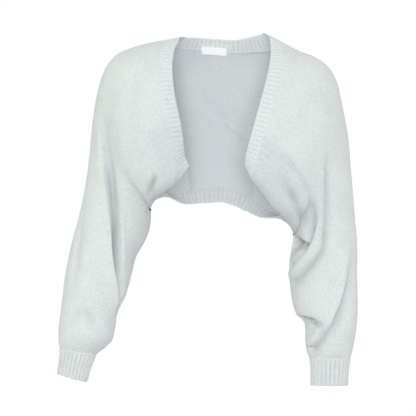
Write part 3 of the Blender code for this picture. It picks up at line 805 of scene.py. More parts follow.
class Signal:
    """A shader socket that works in Python expressions, each operator adding its Math node."""

    def __init__(self, graph: "Graph", socket: bpy.types.NodeSocket) -> None:
        """Keeps the graph and the socket."""
        self.graph = graph
        self.socket = socket

    def _math(self, operation: str, *others: "Signal | float") -> "Signal":
        """A Math node on this value and others."""
        values = dict(enumerate((self, *others)))
        return self.graph.add("ShaderNodeMath", {"operation": operation}, values)

    def __add__(self, other: "Signal | float") -> "Signal":
        """Sum."""
        return self._math("ADD", other)

    def __mul__(self, other: "Signal | float") -> "Signal":
        """Product."""
        return self._math("MULTIPLY", other)

    __radd__, __rmul__ = __add__, __mul__

    def __sub__(self, other: "Signal | float") -> "Signal":
        """Difference."""
        return self._math("SUBTRACT", other)

    def __rsub__(self, other: float) -> "Signal":
        """Difference from a number on the left."""
        return self._math("MULTIPLY", -1.0)._math("ADD", other)

    def __truediv__(self, other: float) -> "Signal":
        """Quotient by a number."""
        return self._math("MULTIPLY", 1.0 / other)

    def wave(self) -> "Signal":
        """Cosine of the value in whole turns."""
        return (self * TURN)._math("COSINE")

    def saw(self) -> "Signal":
        """The value less its whole part."""
        return self._math("FRACT")

    def size(self) -> "Signal":
        """The value without its sign."""
        return self._math("ABSOLUTE")

    def held(self) -> "Signal":
        """The value kept between 0 and 1."""
        return self._math("MAXIMUM", 0.0)._math("MINIMUM", 1.0)


class Graph:
    """The nodes of one material."""

    def __init__(self, name: str) -> None:
        """Starts a material of that name with its Principled shader."""
        self.material = bpy.data.materials.new(name)
        self.material.use_nodes = True
        self.tree = self.material.node_tree
        self.shader = self.tree.nodes["Principled BSDF"]

    def add(self, kind: str, settings: dict, inputs: dict, output: int | str = 0) -> Signal:
        """Adds a node.

        Args:
            kind: the node's type.
            settings: attributes set first.
            inputs: values or signals by socket name or number.
            output: the socket that is returned.

        Returns:
            The output socket as a signal.
        """
        node = self.tree.nodes.new(kind)
        for key, value in settings.items():
            setattr(node, key, value)
        for key, value in inputs.items():
            self.feed(node.inputs[key], value)
        return Signal(self, node.outputs[output])

    def feed(self, socket: bpy.types.NodeSocket, value: object) -> None:
        """Links a signal to a socket, or sets its value."""
        if isinstance(value, Signal):
            self.tree.links.new(value.socket, socket)
        else:
            socket.default_value = value

    def noise(self, size: float, detail: float = 2.0, rough: float = 0.5) -> Signal:
        """Noise on Object coordinates whose grains are of the given size in metres."""
        place = self.add("ShaderNodeTexCoord", {}, {}, "Object")
        inputs = {"Vector": place, "Scale": 1 / size, "Detail": detail, "Roughness": rough}
        return self.add("ShaderNodeTexNoise", {}, inputs)

    def blend(self, share: "Signal | float", first: object, second: object) -> Signal:
        """A mix of two colours.

        Args:
            share: share of the second colour.
            first: colour at share 0.
            second: colour at share 1.

        Returns:
            The mixed colour.
        """
        node = self.tree.nodes.new("ShaderNodeMix")
        node.data_type = "RGBA"
        for name, value in (("Factor_Float", share), ("A_Color", first), ("B_Color", second)):
            socket = next(s for s in node.inputs if s.identifier == name)
            self.feed(socket, value)
        return Signal(self, next(s for s in node.outputs if s.identifier == "Result_Color"))

    def parts(self, attribute: str) -> tuple[Signal, Signal, Signal]:
        """The three parts of a vector attribute of the piece."""
        vector = self.add("ShaderNodeAttribute", {"attribute_name": attribute}, {}, "Vector")
        node = self.tree.nodes.new("ShaderNodeSeparateXYZ")
        self.feed(node.inputs[0], vector)
        return tuple(Signal(self, node.outputs[k]) for k in range(3))


@dataclass(frozen=True)
class KnitFinish:
    """Soft brushed knit of mixed yarn: stitches in wales, mottled colour, a little fuzz and sheen."""

    name: str
    pale: tuple[float, float, float] = (0.83, 0.885, 0.83)
    dark: tuple[float, float, float] = (0.71, 0.74, 0.765)
    wale: float = 0.0034
    course: float = 0.0027
    stitch: float = 0.00035
    fuzz: float = 0.0005
    groove_shade: float = 0.5
    wale_shade: float = 0.45
    mark_pitch: float = 0.005
    patch_pitch: float = 0.0046
    # Painted shade: the colour towards which creases and rib grooves are darkened
    crease_shade: tuple[float, float, float] = (0.40, 0.44, 0.48)
    # Painted light on the inner face: the paler, bluer colour and the share of it blended in
    inside_painted_light: tuple[float, float, float] = (0.93, 0.965, 1.0)
    inside_painted_light_share: float = 0.42
    sheen: float = 0.35

    def make(self) -> bpy.types.Material:
        """Builds the material.

        A wale's height falls off as the square of the distance from its middle, and a cosine along it,
        bent into a V by that distance, makes the stitches. Fine and coarse noise mix the two yarns. The
        groove value paints shade into creases and rib grooves, and below zero paints light on the inner
        face, paler and bluer. The fronts' patches are darkened with stitch lines and painted shade.

        Returns:
            The material.
        """
        graph = Graph(self.name)
        lengthwise, across, groove = graph.parts("yarn")
        beside, clear, patch = graph.parts("mark")
        wander = graph.noise(0.03, 1.0) * 0.0012
        wale_at = (across + wander) / self.wale
        edge = (wale_at.saw() - 0.5).size() * 2.0
        crown = 1.0 - edge * edge
        loops = (lengthwise / self.course + edge * 0.5).wave() * 0.5 + 0.5
        stitch = crown * (loops * 0.5 + 0.5)
        grain = graph.noise(0.0042, 3.0, 0.65)
        fibre = graph.noise(0.0016, 2.0, 0.6)
        cloud = graph.noise(0.04, 2.0)
        mottle = (grain - 0.5) * 2.1 + (fibre - 0.5) * 1.1 + (cloud - 0.5) * 0.7 + 0.5
        mix = mottle + (stitch - 0.5) * self.wale_shade
        line = (beside / self.mark_pitch).wave() * 0.5 + 0.5
        mark = line * line * ((self.mark_pitch * 1.55 - beside.size()) / 0.0006).held() * clear
        rows = ((across + wander) / self.patch_pitch).wave() * 0.5 + 0.5
        # Painted shade and stitch lines: the patches are darkened all over and more along their lines
        mix = mix - mark * 0.9 - patch * (rows * 0.5 + 0.12)
        colour = graph.blend(mix.held(), (*self.dark, 1.0), (*self.pale, 1.0))
        # Painted light: the inner face is blended towards a paler, bluer colour
        colour = graph.blend((groove * -self.inside_painted_light_share).held(), colour, (*self.inside_painted_light, 1.0))
        # Painted shade in creases and rib grooves
        colour = graph.blend((groove * self.groove_shade).held(), colour, (*self.crease_shade, 1.0))
        height = stitch * self.stitch + (grain - 0.5) * self.fuzz + (fibre - 0.5) * (0.6 * self.fuzz)
        height = height - mark * 0.0006 - patch * rows * 0.0005
        bump = graph.add("ShaderNodeBump", {}, {"Strength": 1.0, "Distance": 1.0, "Height": height})
        shader = graph.shader.inputs
        graph.feed(shader["Base Color"], colour)
        graph.feed(shader["Roughness"], (0.94 - (grain - 0.5) * 0.1).held())
        graph.feed(shader["Normal"], bump)
        shader["Specular IOR Level"].default_value = 0.2
        shader["Sheen Weight"].default_value = self.sheen
        shader["Sheen Roughness"].default_value = 0.45
        shader["Sheen Tint"].default_value = (0.92, 0.97, 1.0, 1.0)
        return graph.material


@dataclass(frozen=True)
class TapeFinish:
    """Bare woven label tape: satin white with a fine weave."""

    name: str = "label_tape"
    colour: tuple[float, float, float] = (0.97, 0.97, 0.965)
    thread: float = 0.0006
    # Painted light: the label glows so that it reads whiter than its lighting makes it
    glow: float = 0.2

    def make(self) -> bpy.types.Material:
        """Builds the material from two crossed cosine waves for the weave.

        Returns:
            The material.
        """
        graph = Graph(self.name)
        lengthwise, across, _ = graph.parts("yarn")
        weave = (lengthwise / self.thread).wave() * (across / self.thread).wave()
        grain = graph.noise(0.0009)
        tint = graph.blend((weave * 0.12 + grain * 0.5).held(), (*self.colour, 1.0), (0.9, 0.91, 0.9, 1.0))
        bump = graph.add("ShaderNodeBump", {}, {"Strength": 0.6, "Distance": 1.0, "Height": weave * 0.00005})
        shader = graph.shader.inputs
        graph.feed(shader["Base Color"], tint)
        graph.feed(shader["Normal"], bump)
        shader["Roughness"].default_value = 0.5
        # Painted light: a faint glow that whitens the label
        shader["Emission Color"].default_value = (0.96, 1.0, 0.98, 1.0)
        shader["Emission Strength"].default_value = self.glow
        return graph.material


@dataclass(frozen=True)
class StudioFinish:
    """Plain pale paint of the floor."""

    name: str = "studio_floor"
    colour: tuple[float, float, float] = (0.93, 0.93, 0.93)
    glow: float = 0.55

    def make(self) -> bpy.types.Material:
        """Builds the material, slightly mottled so that it reads as a surface.

        Returns:
            The material.
        """
        graph = Graph(self.name)
        shader = graph.shader.inputs
        tint = graph.blend(graph.noise(0.4) * 0.04, (*self.colour, 1.0), (0.86, 0.86, 0.86, 1.0))
        graph.feed(shader["Base Color"], tint)
        shader["Roughness"].default_value = 0.9
        shader["Emission Color"].default_value = (1.0, 1.0, 1.0, 1.0)
        shader["Emission Strength"].default_value = self.glow
        return graph.material


def dress(
    piece: bpy.types.Object,
    finish: bpy.types.Material,
    slot: str,
    nodes: tuple[str, ...],
    flat: tuple[float, float] | None = None,
    area: float | None = None,
) -> None:
    """Gives a piece its material and body, and hides the nodes it stands for.

    Args:
        piece: the object.
        finish: its material.
        slot: not used.
        nodes: the solids it replaces.
        flat: not used.
        area: not used.
    """
    piece.data.materials.append(finish)
    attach(piece, "root")
    if nodes:
        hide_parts(*nodes)
    LOG.info("%s: %d faces", piece.name, len(piece.data.polygons))


@dataclass
class KnitPanels:
    """The back, the two fronts and the two sleeves, cut from the cloth where the solids are."""

    cloth: Cloth
    finish: bpy.types.Material
    sleeve_cut: Cut = ((0.56, 0.43), 0.135)
    front_cut: Cut = ((0.20, 0.37), 0.056)
    back_cut: Cut = ((0.62, 0.35), 0.160)

    def build(self) -> None:
        """Builds and dresses every panel."""
        for side in (Side.RIGHT, Side.LEFT):
            self.sleeve(side)
            self.front(side)
        self.back()

    def _layers(self, side: Side, start: int, stop: int) -> tuple[np.ndarray, ...]:
        """Part of a half, as the layers that a wall is made from.

        Args:
            side: the half.
            start: its first section.
            stop: the section after its last.

        Returns:
            Outer points, inner points, yarn places, normals and marks.
        """
        grid = self.cloth.halves[side]
        part = slice(start, stop)
        outer, normals = grid.points[part], grid.normals[part]
        inner = outer - normals * self.cloth.wall
        lengths, crease_painted_shade = self.cloth.base_lengths[side][part], self.cloth.crease_painted_shade[side][part]
        yarn = yarn_places(grid.stations()[part, None], lengths, crease_painted_shade)
        return outer, inner, yarn, normals, self.cloth.marks[side][part]

    def sleeve(self, side: Side) -> None:
        """A closed ring of front and back halves, from the cuff to the armhole."""
        stop = self.cloth.armhole + 1
        front = self._layers(side, 0, stop)
        rows = len(self.cloth.halves[Side.BACK].at)
        if side is Side.RIGHT:
            back = self._layers(Side.BACK, 0, stop)
        else:
            back = tuple(layer[::-1] for layer in self._layers(Side.BACK, rows - stop, rows))
        layers = [np.concatenate([a, b[:, -2:0:-1]], axis=1) for a, b in zip(front, back)]
        layers[2][..., 0] = np.broadcast_to(front[2][:, :1, 0], layers[2].shape[:2])
        piece = closed_wall(f"{side.value}_sleeve_knit", *layers[:3], True, INSIDE_PAINTED_LIGHT, *layers[3:])
        dress(piece, self.finish, "knit", (f"{side.value}_sleeve",), *self.sleeve_cut)

    def front(self, side: Side) -> None:
        """A front panel, from the armhole to the front band."""
        layers = self._layers(side, self.cloth.armhole, len(self.cloth.halves[side].at))
        piece = closed_wall(f"{side.value}_front_knit", *layers[:3], False, INSIDE_PAINTED_LIGHT, *layers[3:])
        dress(piece, self.finish, "knit", (f"{side.value}_front",), *self.front_cut)

    def back(self) -> None:
        """The back panel, from armhole to armhole."""
        rows = len(self.cloth.halves[Side.BACK].at)
        layers = self._layers(Side.BACK, self.cloth.armhole, rows - self.cloth.armhole)
        piece = closed_wall("back_knit", *layers[:3], False, INSIDE_PAINTED_LIGHT, *layers[3:])
        dress(piece, self.finish, "knit", ("back",), *self.back_cut)


@dataclass
class RibBand:
    """A rib band that starts at a seam and goes on from its cloth, with grooves square to the seam."""

    name: str
    finish: bpy.types.Material
    nodes: tuple[str, ...]
    pitch: float = 9.2
    wall: float = 2.8
    rise: float = 1.35
    groove: float = 1.15
    station: float = 0.92
    stand: tuple[float, float, float] = (-0.42, 0.0, 0.91)
    levels: tuple[float, ...] = (
        0.0, 0.04, 0.12, 0.24, 0.38, 0.52, 0.66, 0.78, 0.85, 0.89, 0.93, 0.97, 0.99, 1.0,
    )

    def build(
        self,
        seam_outer: np.ndarray,
        seam_inner: np.ndarray,
        bends: np.ndarray,
        slides: np.ndarray,
        widths: np.ndarray,
        lifts: np.ndarray,
        hand: float,
        cut: Cut,
    ) -> bpy.types.Object:
        """Carries the band's cross section along the seam.

        The section runs straight out of the cloth, bent by the given angle, and its wall thins to a
        round free edge. Both faces are lowered along grooves whose depth is a bell curve of the
        distance from the groove, fading out at the seam and at the free edge.

        Args:
            seam_outer: outer points of the seam, in millimetres.
            seam_inner: inner points of the seam.
            bends: angles by which the band leaves the cloth's direction, in radians.
            slides: distances by which the free edge moves along the seam.
            widths: widths of the band.
            lifts: shares by which the band stands up instead of going on from its cloth.
            hand: 1 or -1, the side of the seam's line that the band lies on.
            cut: flat size and area of the band.

        Returns:
            The dressed band.
        """
        middle = (seam_outer + seam_inner) / 2
        out = unit(seam_outer - seam_inner)
        way = unit(np.gradient(middle, axis=0))
        away = hand * unit(np.cross(way, out))
        lean = away * np.cos(bends)[:, None] + out * np.sin(bends)[:, None]
        face = out * np.cos(bends)[:, None] - away * np.sin(bends)[:, None]
        stand = np.tile(self.stand, (len(middle), 1))
        stand[:, 0] *= np.sign(middle[:, 0])
        lean = unit(lean) * (1 - lifts[:, None]) + stand * lifts[:, None]
        lean, face = unit(eased(lean, 12)), unit(eased(face, 12))
        face = unit(face - lean * (face * lean).sum(axis=1, keepdims=True))
        run = run_lengths(middle)
        count = int(run[-1] / self.station)
        places = np.interp(np.linspace(0, run[-1], count + 1), run, np.arange(len(run)))
        arc = np.linspace(0, run[-1], count + 1)[:, None]
        start, out, lean, face = (along(v, places)[:, None] for v in (middle, out, lean, face))
        shift = along(way * slides[:, None], places)[:, None]
        t = np.array(self.levels)
        wide = along(widths[:, None], places)[:, None]
        centre = start + (lean * wide + shift) * t[None, :, None]
        outer_groove, inner_groove = self._groove(arc, 0.0), self._groove(arc, 0.5)
        fade = np.clip(t / 0.06, 0, 1) * np.clip((0.92 - t) / 0.06, 0, 1)
        round_edge = np.sqrt(np.clip(1 - np.clip((t - 0.93) / 0.07, 0, 1) ** 2, 0.02, 1))
        full = (wide[..., 0] / wide.max()) ** 0.6
        half = self.wall / 2 * round_edge * full
        turn = np.clip(t / 0.2, 0, 1)[None, :, None]
        facing = unit(out * (1 - turn) + face * turn)
        up = half + self.rise * full * fade * (0.35 - outer_groove)
        down = half + self.rise * full * fade * (0.35 - inner_groove)
        outer, inner = centre + facing * up[..., None], centre - facing * down[..., None]
        # Painted shade in the grooves of both faces, given as the yarn's groove value
        yarn = yarn_places(t * wide[..., 0], arc, fade * outer_groove)
        piece = closed_wall(self.name, outer, inner, yarn, False, fade * inner_groove)
        dress(piece, self.finish, "rib", self.nodes, *cut)
        return piece

    def _groove(self, arc: np.ndarray, phase: float) -> np.ndarray:
        """Depth share of the grooves: a bell curve of the distance from the nearest one."""
        turns = arc / self.pitch + phase
        distance = np.abs(turns - np.round(turns)) * self.pitch
        return np.exp(-((distance / self.groove) ** 2))


@dataclass
class Bands:
    """The front band with the neck, the hem band, and the two cuffs."""

    cloth: Cloth
    finish: bpy.types.Material
    cuff_finish: bpy.types.Material
    width: float = 26.0
    mitre: float = 20.5
    mitre_reach: float = 80.0
    cuff_ribs: int = 24
    front_bend: Table = ((0, 0), (0.3, 0), (0.9, -5), (1, -20))
    neck_bend: Table = ((0, 0), (2, 12), (4, 20), (6, 12), (8, 0))
    crook_reach: float = 1.3
    crook_squeeze: float = 0.985
    shoulder_lift: Table = (
        (0, 0.12), (1.2, 0.1), (2.4, 0), (4.6, 0), (5.8, 0.5), (6.8, 0.6), (7.6, 0.4), (8, 0.2),
    )
    shoulder_width: Table = ((0, 4), (1, 3), (2, -2), (4.4, -2), (5.6, 6), (6.6, 12), (7.4, 11), (8, 4))
    shoulder_fall: float = 0.12
    front_hem_bend: Table = ((10, -125), (11, -110), (12, -95), (14, -75), (17, -60))
    back_hem_bend: Table = ((10, -125), (11, -100), (12, -70), (13, -40), (15, -10), (17, 3), (21, 12))
    front_cut: Cut = ((0.026, 0.96), 0.0249)
    hem_cut: Cut = ((0.026, 0.72), 0.0186)
    cuff_cut: Cut = ((0.20, 0.055), 0.0108)
    cuff_levels: tuple[float, ...] = (0.0, 0.03, 0.08, 0.2, 0.35, 0.5, 0.65, 0.8, 0.9, 0.95, 0.98, 1.0)
    cuff_wall: float = 2.8
    cuff_rise: float = 1.5
    cuff_waist: float = 1.5
    cuff_groove: float = 0.13
    cuff_pitch: float = 8.0

    def build(self) -> None:
        """Builds the bands and cuffs."""
        self.front_band()
        self.hem_band()
        for side in (Side.RIGHT, Side.LEFT):
            self.cuff(side)

    @staticmethod
    def _bend(table: Table, at: np.ndarray) -> np.ndarray:
        """Angles of a bend table at the given places, in radians."""
        columns = np.array(table, float)
        return np.radians(np.interp(at, columns[:, 0], columns[:, 1]))

    def _edges(self, parts: list[tuple[Side, object, int]]) -> tuple[np.ndarray, np.ndarray]:
        """Outer and inner points along a list of grid edges, doubles left out.

        Args:
            parts: half, rows and column of each edge.

        Returns:
            The two joined lines.
        """
        lines = [[], []]
        for side, rows, columns in parts:
            grid = self.cloth.halves[side]
            outer = grid.points[rows, columns]
            lines[0].append(outer)
            lines[1].append(outer - grid.normals[rows, columns] * self.cloth.wall)
        return np.concatenate(lines[0]), np.concatenate(lines[1])

    def front_seam(self) -> tuple[np.ndarray, np.ndarray, np.ndarray]:
        """Seam of the front band, from the right front's low corner to the left front's.

        Returns:
            Outer and inner points, and the bends in radians.
        """
        right = self.cloth.halves[Side.RIGHT]
        back = self.cloth.halves[Side.BACK]
        first, last = len(right.at), len(back.at) - len(right.at)
        outer, inner = self._edges(
            [
                (Side.RIGHT, -1, slice(None, None, -1)),
                (Side.BACK, slice(first, last), 0),
                (Side.LEFT, -1, slice(None)),
            ]
        )
        down = self._bend(self.front_bend, np.linspace(0, 1, self.cloth.columns))
        neck = self._bend(self.neck_bend, back.at[first:last] - LAST_ROW)
        return outer, inner, np.concatenate([down[::-1], neck, down])

    def front_band(self) -> None:
        """The band up one front, round the neck and down the other, its ends cut to a slant."""
        outer, inner, bends = self.front_seam()
        run = run_lengths(outer)
        near, far = (np.clip(1 - gap / self.mitre_reach, 0, 1) ** 1.5 for gap in (run, run[-1] - run))
        widths = self.width + self._round_neck(self.shoulder_width)
        lifts = self._round_neck(self.shoulder_lift)
        band = RibBand("front_band_rib", self.finish, ("front_band",))
        band.build(outer, inner, bends, self.mitre * (near - far), widths, lifts, 1.0, self.front_cut)

    def _round_neck(self, table: Table) -> np.ndarray:
        """A table's values along the back of the neck, dying away down both fronts.

        Args:
            table: places along the neck, in rows, with their values.

        Returns:
            A value for each point of the front band's seam.
        """
        columns, count = np.array(table), self.cloth.columns
        side, back = self.cloth.halves[Side.RIGHT].at, self.cloth.halves[Side.BACK].at
        neck = np.interp(back[len(side) : len(back) - len(side)] - LAST_ROW, *columns.T)
        fall = np.clip(1 - np.arange(count) / (self.shoulder_fall * count), 0, 1)
        return np.concatenate([columns[0, 1] * fall[::-1], neck, columns[-1, 1] * fall])

    def hem_seam(self) -> tuple[np.ndarray, np.ndarray, np.ndarray, np.ndarray]:
        """Seam of the hem band, right front under the arm and across the back to the left front.

        Returns:
            Outer and inner points, bends, and rows counted from the cuff of each side.
        """
        side_at = self.cloth.halves[Side.RIGHT].at
        back = self.cloth.halves[Side.BACK]
        start = self.cloth.armhole
        last = len(back.at) - 1 - start
        right = slice(len(side_at) - 1, start, -1)
        across, left = slice(start, last + 1), slice(start + 1, len(side_at))
        outer, inner = self._edges([(Side.RIGHT, right, -1), (Side.BACK, across, -1), (Side.LEFT, left, -1)])
        near = np.minimum(back.at[across], BACK_END - back.at[across])
        bends = [
            self._bend(self.front_hem_bend, side_at[right]),
            self._bend(self.back_hem_bend, near),
            self._bend(self.front_hem_bend, side_at[left]),
        ]
        return outer, inner, np.concatenate(bends), np.concatenate([side_at[right], near, side_at[left]])

    def hem_band(self) -> None:
        """The band round the lower edge, squeezed narrow in the crook of each arm."""
        outer, inner, bends, rows = self.hem_seam()
        band = RibBand("hem_band_rib", self.finish, ("hem_band",))
        squeeze = np.exp(-(((rows - ARMHOLE_ROW) / self.crook_reach) ** 2))
        widths, none = self.width * (1 - self.crook_squeeze * squeeze), np.zeros(len(bends))
        band.build(outer, inner, bends, none, widths, none, -1.0, self.hem_cut)

    def cuff(self, side: Side) -> None:
        """A cuff: rings blended from the sleeve's end to the cuff's open end, with grooves down it.

        Args:
            side: right or left.
        """
        end = CUFF_ENDS[side]
        over = np.array([[end.over_x, end.over_y, end.over_z]], float)
        low = np.array([[end.low_x, end.low_y, end.low_z]], float)
        one, none, count = np.ones(1), np.zeros(1), self.cloth.columns
        halves = [
            half_sections(over, low, one * deep, sign, one * 0.5, one * 2, none, none, count)[0][0]
            for sign, deep in ((-1, end.front_deep), (1, end.back_deep))
        ]
        bottom = np.concatenate([halves[0], halves[1][-2:0:-1]])
        front, back = self.cloth.halves[side], self.cloth.halves[Side.BACK]
        row = 0 if side is Side.RIGHT else len(back.at) - 1
        top = np.concatenate([front.points[0], back.points[row, -2:0:-1]])
        top_out = np.concatenate([front.normals[0], back.normals[row, -2:0:-1]])
        count = self.cuff_ribs * 14
        places = np.arange(count) * len(bottom) / count
        rings = [along(np.concatenate([ring, ring[:1]]), places)[None] for ring in (top, top_out, bottom)]
        middle = rings[2].mean(axis=1, keepdims=True)
        axis = unit(middle - rings[0].mean(axis=1, keepdims=True))
        out = rings[2] - middle
        out = unit(out - axis * (out * axis).sum(axis=-1, keepdims=True))
        t = np.array(self.cuff_levels)
        blend = t[:, None, None]
        waist = self.cuff_waist * np.sin(np.pi * blend)
        outer_face = unit(rings[1] * (1 - np.clip(blend * 5, 0, 1)) + out * np.clip(blend * 5, 0, 1))
        centre = (rings[0] - rings[1] * 1.1) * (1 - blend) + rings[2] * blend - out * waist
        turns = np.arange(count)[None] * self.cuff_ribs / count
        distance = np.abs(turns - np.round(turns))
        gaps = (distance, 0.5 - distance)
        groove, inner_groove = (np.exp(-((gap / self.cuff_groove) ** 2)) for gap in gaps)
        fade = (np.clip(t / 0.06, 0, 1) * np.clip((0.965 - t) / 0.04, 0, 1))[:, None]
        round_edge = np.sqrt(np.clip(1 - np.clip((t - 0.94) / 0.06, 0, 1) ** 2, 0.02, 1))
        half = self.cuff_wall / 2 * round_edge[:, None]
        up = half + self.cuff_rise * fade * (0.35 - groove)
        down = half + self.cuff_rise * fade * (0.2 - inner_groove)
        outer, inner = centre + outer_face * up[..., None], centre - outer_face * down[..., None]
        height = np.linalg.norm(middle - rings[0].mean(axis=1, keepdims=True))
        # Painted shade in the cuff's grooves, given as the yarn's groove value
        yarn = yarn_places(t[:, None] * height, turns * self.cuff_pitch, fade * groove)
        piece = closed_wall(f"{side.value}_cuff_rib", outer, inner, yarn, True)
        dress(piece, self.cuff_finish, "rib", (f"{side.value}_cuff",), *self.cuff_cut)


@dataclass
class SeamRolls:
    """Rolled seam allowances on the inside of the front band's seam, round the neck and down the fronts."""

    bands: Bands
    finish: bpy.types.Material
    radius: float = 1.5
    sides: int = 12
    station: float = 1.15
    pinch: float = 0.1

    def build(self) -> None:
        """Carries a small oval along the inner edge of the seam, pinched once in each stitch pair."""
        outer, inner, _ = self.bands.front_seam()
        out = unit(outer - inner)
        run = run_lengths(inner)
        places = np.interp(np.arange(1.0, run[-1] - 1.0, self.station), run, np.arange(len(run)))
        centre = along(inner - out * (0.55 * self.radius), places)
        out = unit(along(out, places))
        aside = unit(np.cross(unit(np.gradient(centre, axis=0)), out))
        angle = np.linspace(0, 2 * np.pi, self.sides, endpoint=False)
        count = len(places)
        number = np.arange(count)
        ends = np.minimum(number, number[::-1])
        pinch = 1 + self.pinch * np.cos(number * 2 * np.pi / 4)
        size = (self.radius * pinch * np.clip(np.sqrt(ends / 3.0), 0.05, 1))[:, None, None]
        ring = (
            centre[:, None]
            + aside[:, None] * (np.cos(angle)[None, :, None] * size * 1.15)
            + out[:, None] * (np.sin(angle)[None, :, None] * size * 0.8)
        )
        quads = outward_quads(ring, ring - centre[:, None], True)
        first = list(range(self.sides))
        last = [(count - 1) * self.sides + corner for corner in first]
        caps = [first, last[::-1]] if quads[0][1] == self.sides else [first[::-1], last]
        none = np.zeros((count, self.sides))
        yarn = yarn_places(angle * self.radius, number[:, None] * self.station, none)
        piece = new_piece("neck_seam_roll", ring.reshape(-1, 3), quads.tolist() + caps, {"yarn": yarn})
        dress(piece, self.finish, "rib", ())


@dataclass
class NeckLabel:
    """The bare label inside the back of the neck, hanging from the seam by its upper edge."""

    cloth: Cloth
    finish: bpy.types.Material
    centre: float = -15.0
    width: float = 48.0
    height: float = 17.0
    wall: float = 0.9
    gap: float = 0.6
    first: float = -10.5
    roll: float = 2.6
    curl: float = 1.6
    cut: Cut = ((0.048, 0.017), 0.0008)

    def build(self) -> None:
        """Lays the label's grid over the seam and the back's inner face, with a slight curl at its foot."""
        back = self.cloth.halves[Side.BACK]
        inner = back.points - back.normals * self.cloth.wall
        across = np.linspace(-0.5, 0.5, 41)
        down = np.linspace(0, 1, 15)
        middle = np.arange(len(back.at))[(back.at > 17.5) & (back.at < 24.5)]
        lengths = self.cloth.base_lengths[Side.BACK]
        rows = np.interp(self.centre + across * self.width, inner[middle, 0, 0], middle)
        line, facing, run = (along(v, rows) for v in (inner, back.normals, lengths))
        depth = self.first + down * self.height
        points, face = (
            np.array([[np.interp(depth, gone, part) for part in strip.T] for gone, strip in zip(run, layer)])
            for layer in (line, facing)
        )
        points, face = points.swapaxes(1, 2), unit(face.swapaxes(1, 2))
        points = points - unit(line[:, 3] - line[:, 0])[:, None] * np.maximum(-depth, 0)[None, :, None]
        corner = np.clip((np.abs(across)[:, None] - 0.46) / 0.04, 0, 1)
        curl = self.curl * down**2 * (1 - 0.35 * np.cos(across[:, None] * 2 * np.pi)) + 0.25 * corner
        lift = self.roll * np.exp(-((np.maximum(depth, 0) / 9.0) ** 2))[None]
        near = points - face * (self.gap + curl + lift)[..., None]
        far = near - face * self.wall
        yarn = yarn_places(across[:, None] * self.width, depth, np.zeros(curl.shape))
        piece = closed_wall("neck_label_tape", far, near, yarn, False)
        dress(piece, self.finish, "label", ("neck_label",), *self.cut)


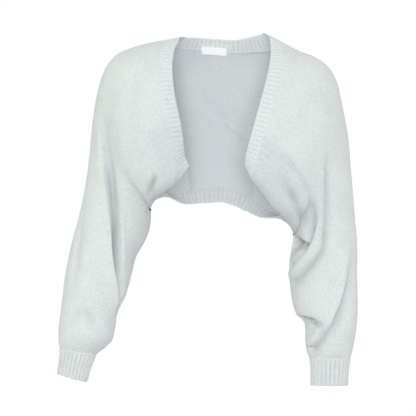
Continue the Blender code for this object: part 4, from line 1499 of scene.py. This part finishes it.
@dataclass
class Studio:
    """Plain pale floor, soft studio light and a camera straight in front."""

    look_at: tuple[float, float, float] = (-0.0265, 0.0, -0.3024)
    distance: float = 7.0
    view_width: float = 0.7862
    floor: float = -1.45
    floor_half: float = 12.0
    sky: tuple[float, float, float, float] = (0.965, 0.985, 0.99, 1.0)
    sky_strength: float = 0.55

    def build(self) -> None:
        """Builds the studio."""
        self._floor()
        self._world()
        self._lights()
        self._camera()

    def _floor(self) -> None:
        """A wide square floor, as far down as a wearer would stand."""
        mesh = bpy.data.meshes.new("studio_floor")
        signs = ((-1, -1), (1, -1), (1, 1), (-1, 1))
        corners = [(x * self.floor_half, y * self.floor_half, self.floor) for x, y in signs]
        mesh.from_pydata(corners, [], [(0, 1, 2, 3)])
        floor = bpy.data.objects.new("studio_floor", mesh)
        mesh.materials.append(StudioFinish().make())
        bpy.context.scene.collection.objects.link(floor)
        floor.visible_diffuse = False

    def _world(self) -> None:
        """Soft light from all round, a little blue, behind a white backdrop."""
        world = bpy.data.worlds.new("studio")
        bpy.context.scene.world = world
        world.use_nodes = True
        tree = world.node_tree
        light, white = tree.nodes["Background"], tree.nodes.new("ShaderNodeBackground")
        light.inputs[0].default_value, light.inputs[1].default_value = self.sky, self.sky_strength
        white.inputs[0].default_value, white.inputs[1].default_value = (1.0, 1.0, 1.0, 1.0), 1.0
        ray = tree.nodes.new("ShaderNodeLightPath")
        mix = tree.nodes.new("ShaderNodeMixShader")
        tree.links.new(ray.outputs["Is Camera Ray"], mix.inputs[0])
        tree.links.new(light.outputs[0], mix.inputs[1])
        tree.links.new(white.outputs[0], mix.inputs[2])
        tree.links.new(mix.outputs[0], tree.nodes["World Output"].inputs[0])

    def _lights(self) -> None:
        """Large area lights: a key up on the left, a broad one in front, and soft ones round the rest."""
        for name, place, energy, size, colour in (
            ("key", (-2.4, -2.6, 1.6), 12.0, 1.5, (0.9, 1.0, 0.72)),
            ("front", (0.0, -4.6, 0.0), 88.0, 1.8, (0.98, 0.965, 1.0)),
            ("top", (0.1, 0.3, 2.2), 6.0, 1.6, (0.96, 1.0, 0.9)),
            ("right_side", (-3.2, 0.2, 0.2), 12.0, 1.6, (0.92, 1.0, 0.84)),
            ("left_side", (3.2, 0.0, 0.0), 16.0, 1.6, (0.97, 1.0, 0.92)),
            ("behind", (0.3, 3.6, 0.6), 26.0, 1.8, (0.97, 0.98, 1.0)),
        ):
            lamp = bpy.data.lights.new(name, "AREA")
            lamp.energy, lamp.size, lamp.color = energy, size, colour
            light = bpy.data.objects.new(name, lamp)
            light.location = place
            light.visible_camera = False
            aim = np.array(self.look_at) - np.array(place)
            light.rotation_mode = "QUATERNION"
            light.rotation_quaternion = Vector(aim.tolist()).to_track_quat("-Z", "Y")
            bpy.context.scene.collection.objects.link(light)

    def _camera(self) -> None:
        """A long lens straight at the front."""
        lens = bpy.data.cameras.new("camera")
        lens.sensor_width = 36.0
        lens.lens = 36.0 * self.distance / self.view_width
        lens.clip_end = 120.0
        camera = bpy.data.objects.new("camera", lens)
        x, y, z = self.look_at
        camera.location = (x, y - self.distance, z)
        camera.rotation_euler = (np.pi / 2, 0.0, 0.0)
        bpy.context.scene.collection.objects.link(camera)
        bpy.context.scene.camera = camera
        bpy.context.scene.view_settings.view_transform = "Standard"


def main() -> None:
    """Builds the cardigan and its studio."""
    logging.basicConfig(level=logging.INFO, format="%(name)s: %(message)s")
    knit = KnitFinish("knit").make()
    # The rib finishes paint shade into their grooves, by groove_shade
    rib = KnitFinish(
        "rib", (0.87, 0.925, 0.89), (0.77, 0.80, 0.83), wale=0.0023, groove_shade=0.24, wale_shade=0.05
    ).make()
    cuff_rib = KnitFinish("cuff_rib", wale=0.002, groove_shade=0.34, wale_shade=0.05).make()
    Studio().build()
    cloth = Cloth()
    LOG.info("cloth: %s sections", {side.value: grid.shares.shape for side, grid in cloth.halves.items()})
    KnitPanels(cloth, knit).build()
    bands = Bands(cloth, rib, cuff_rib)
    bands.build()
    SeamRolls(bands, rib).build()
    NeckLabel(cloth, TapeFinish().make()).build()


if __name__ == "__main__":
    main()
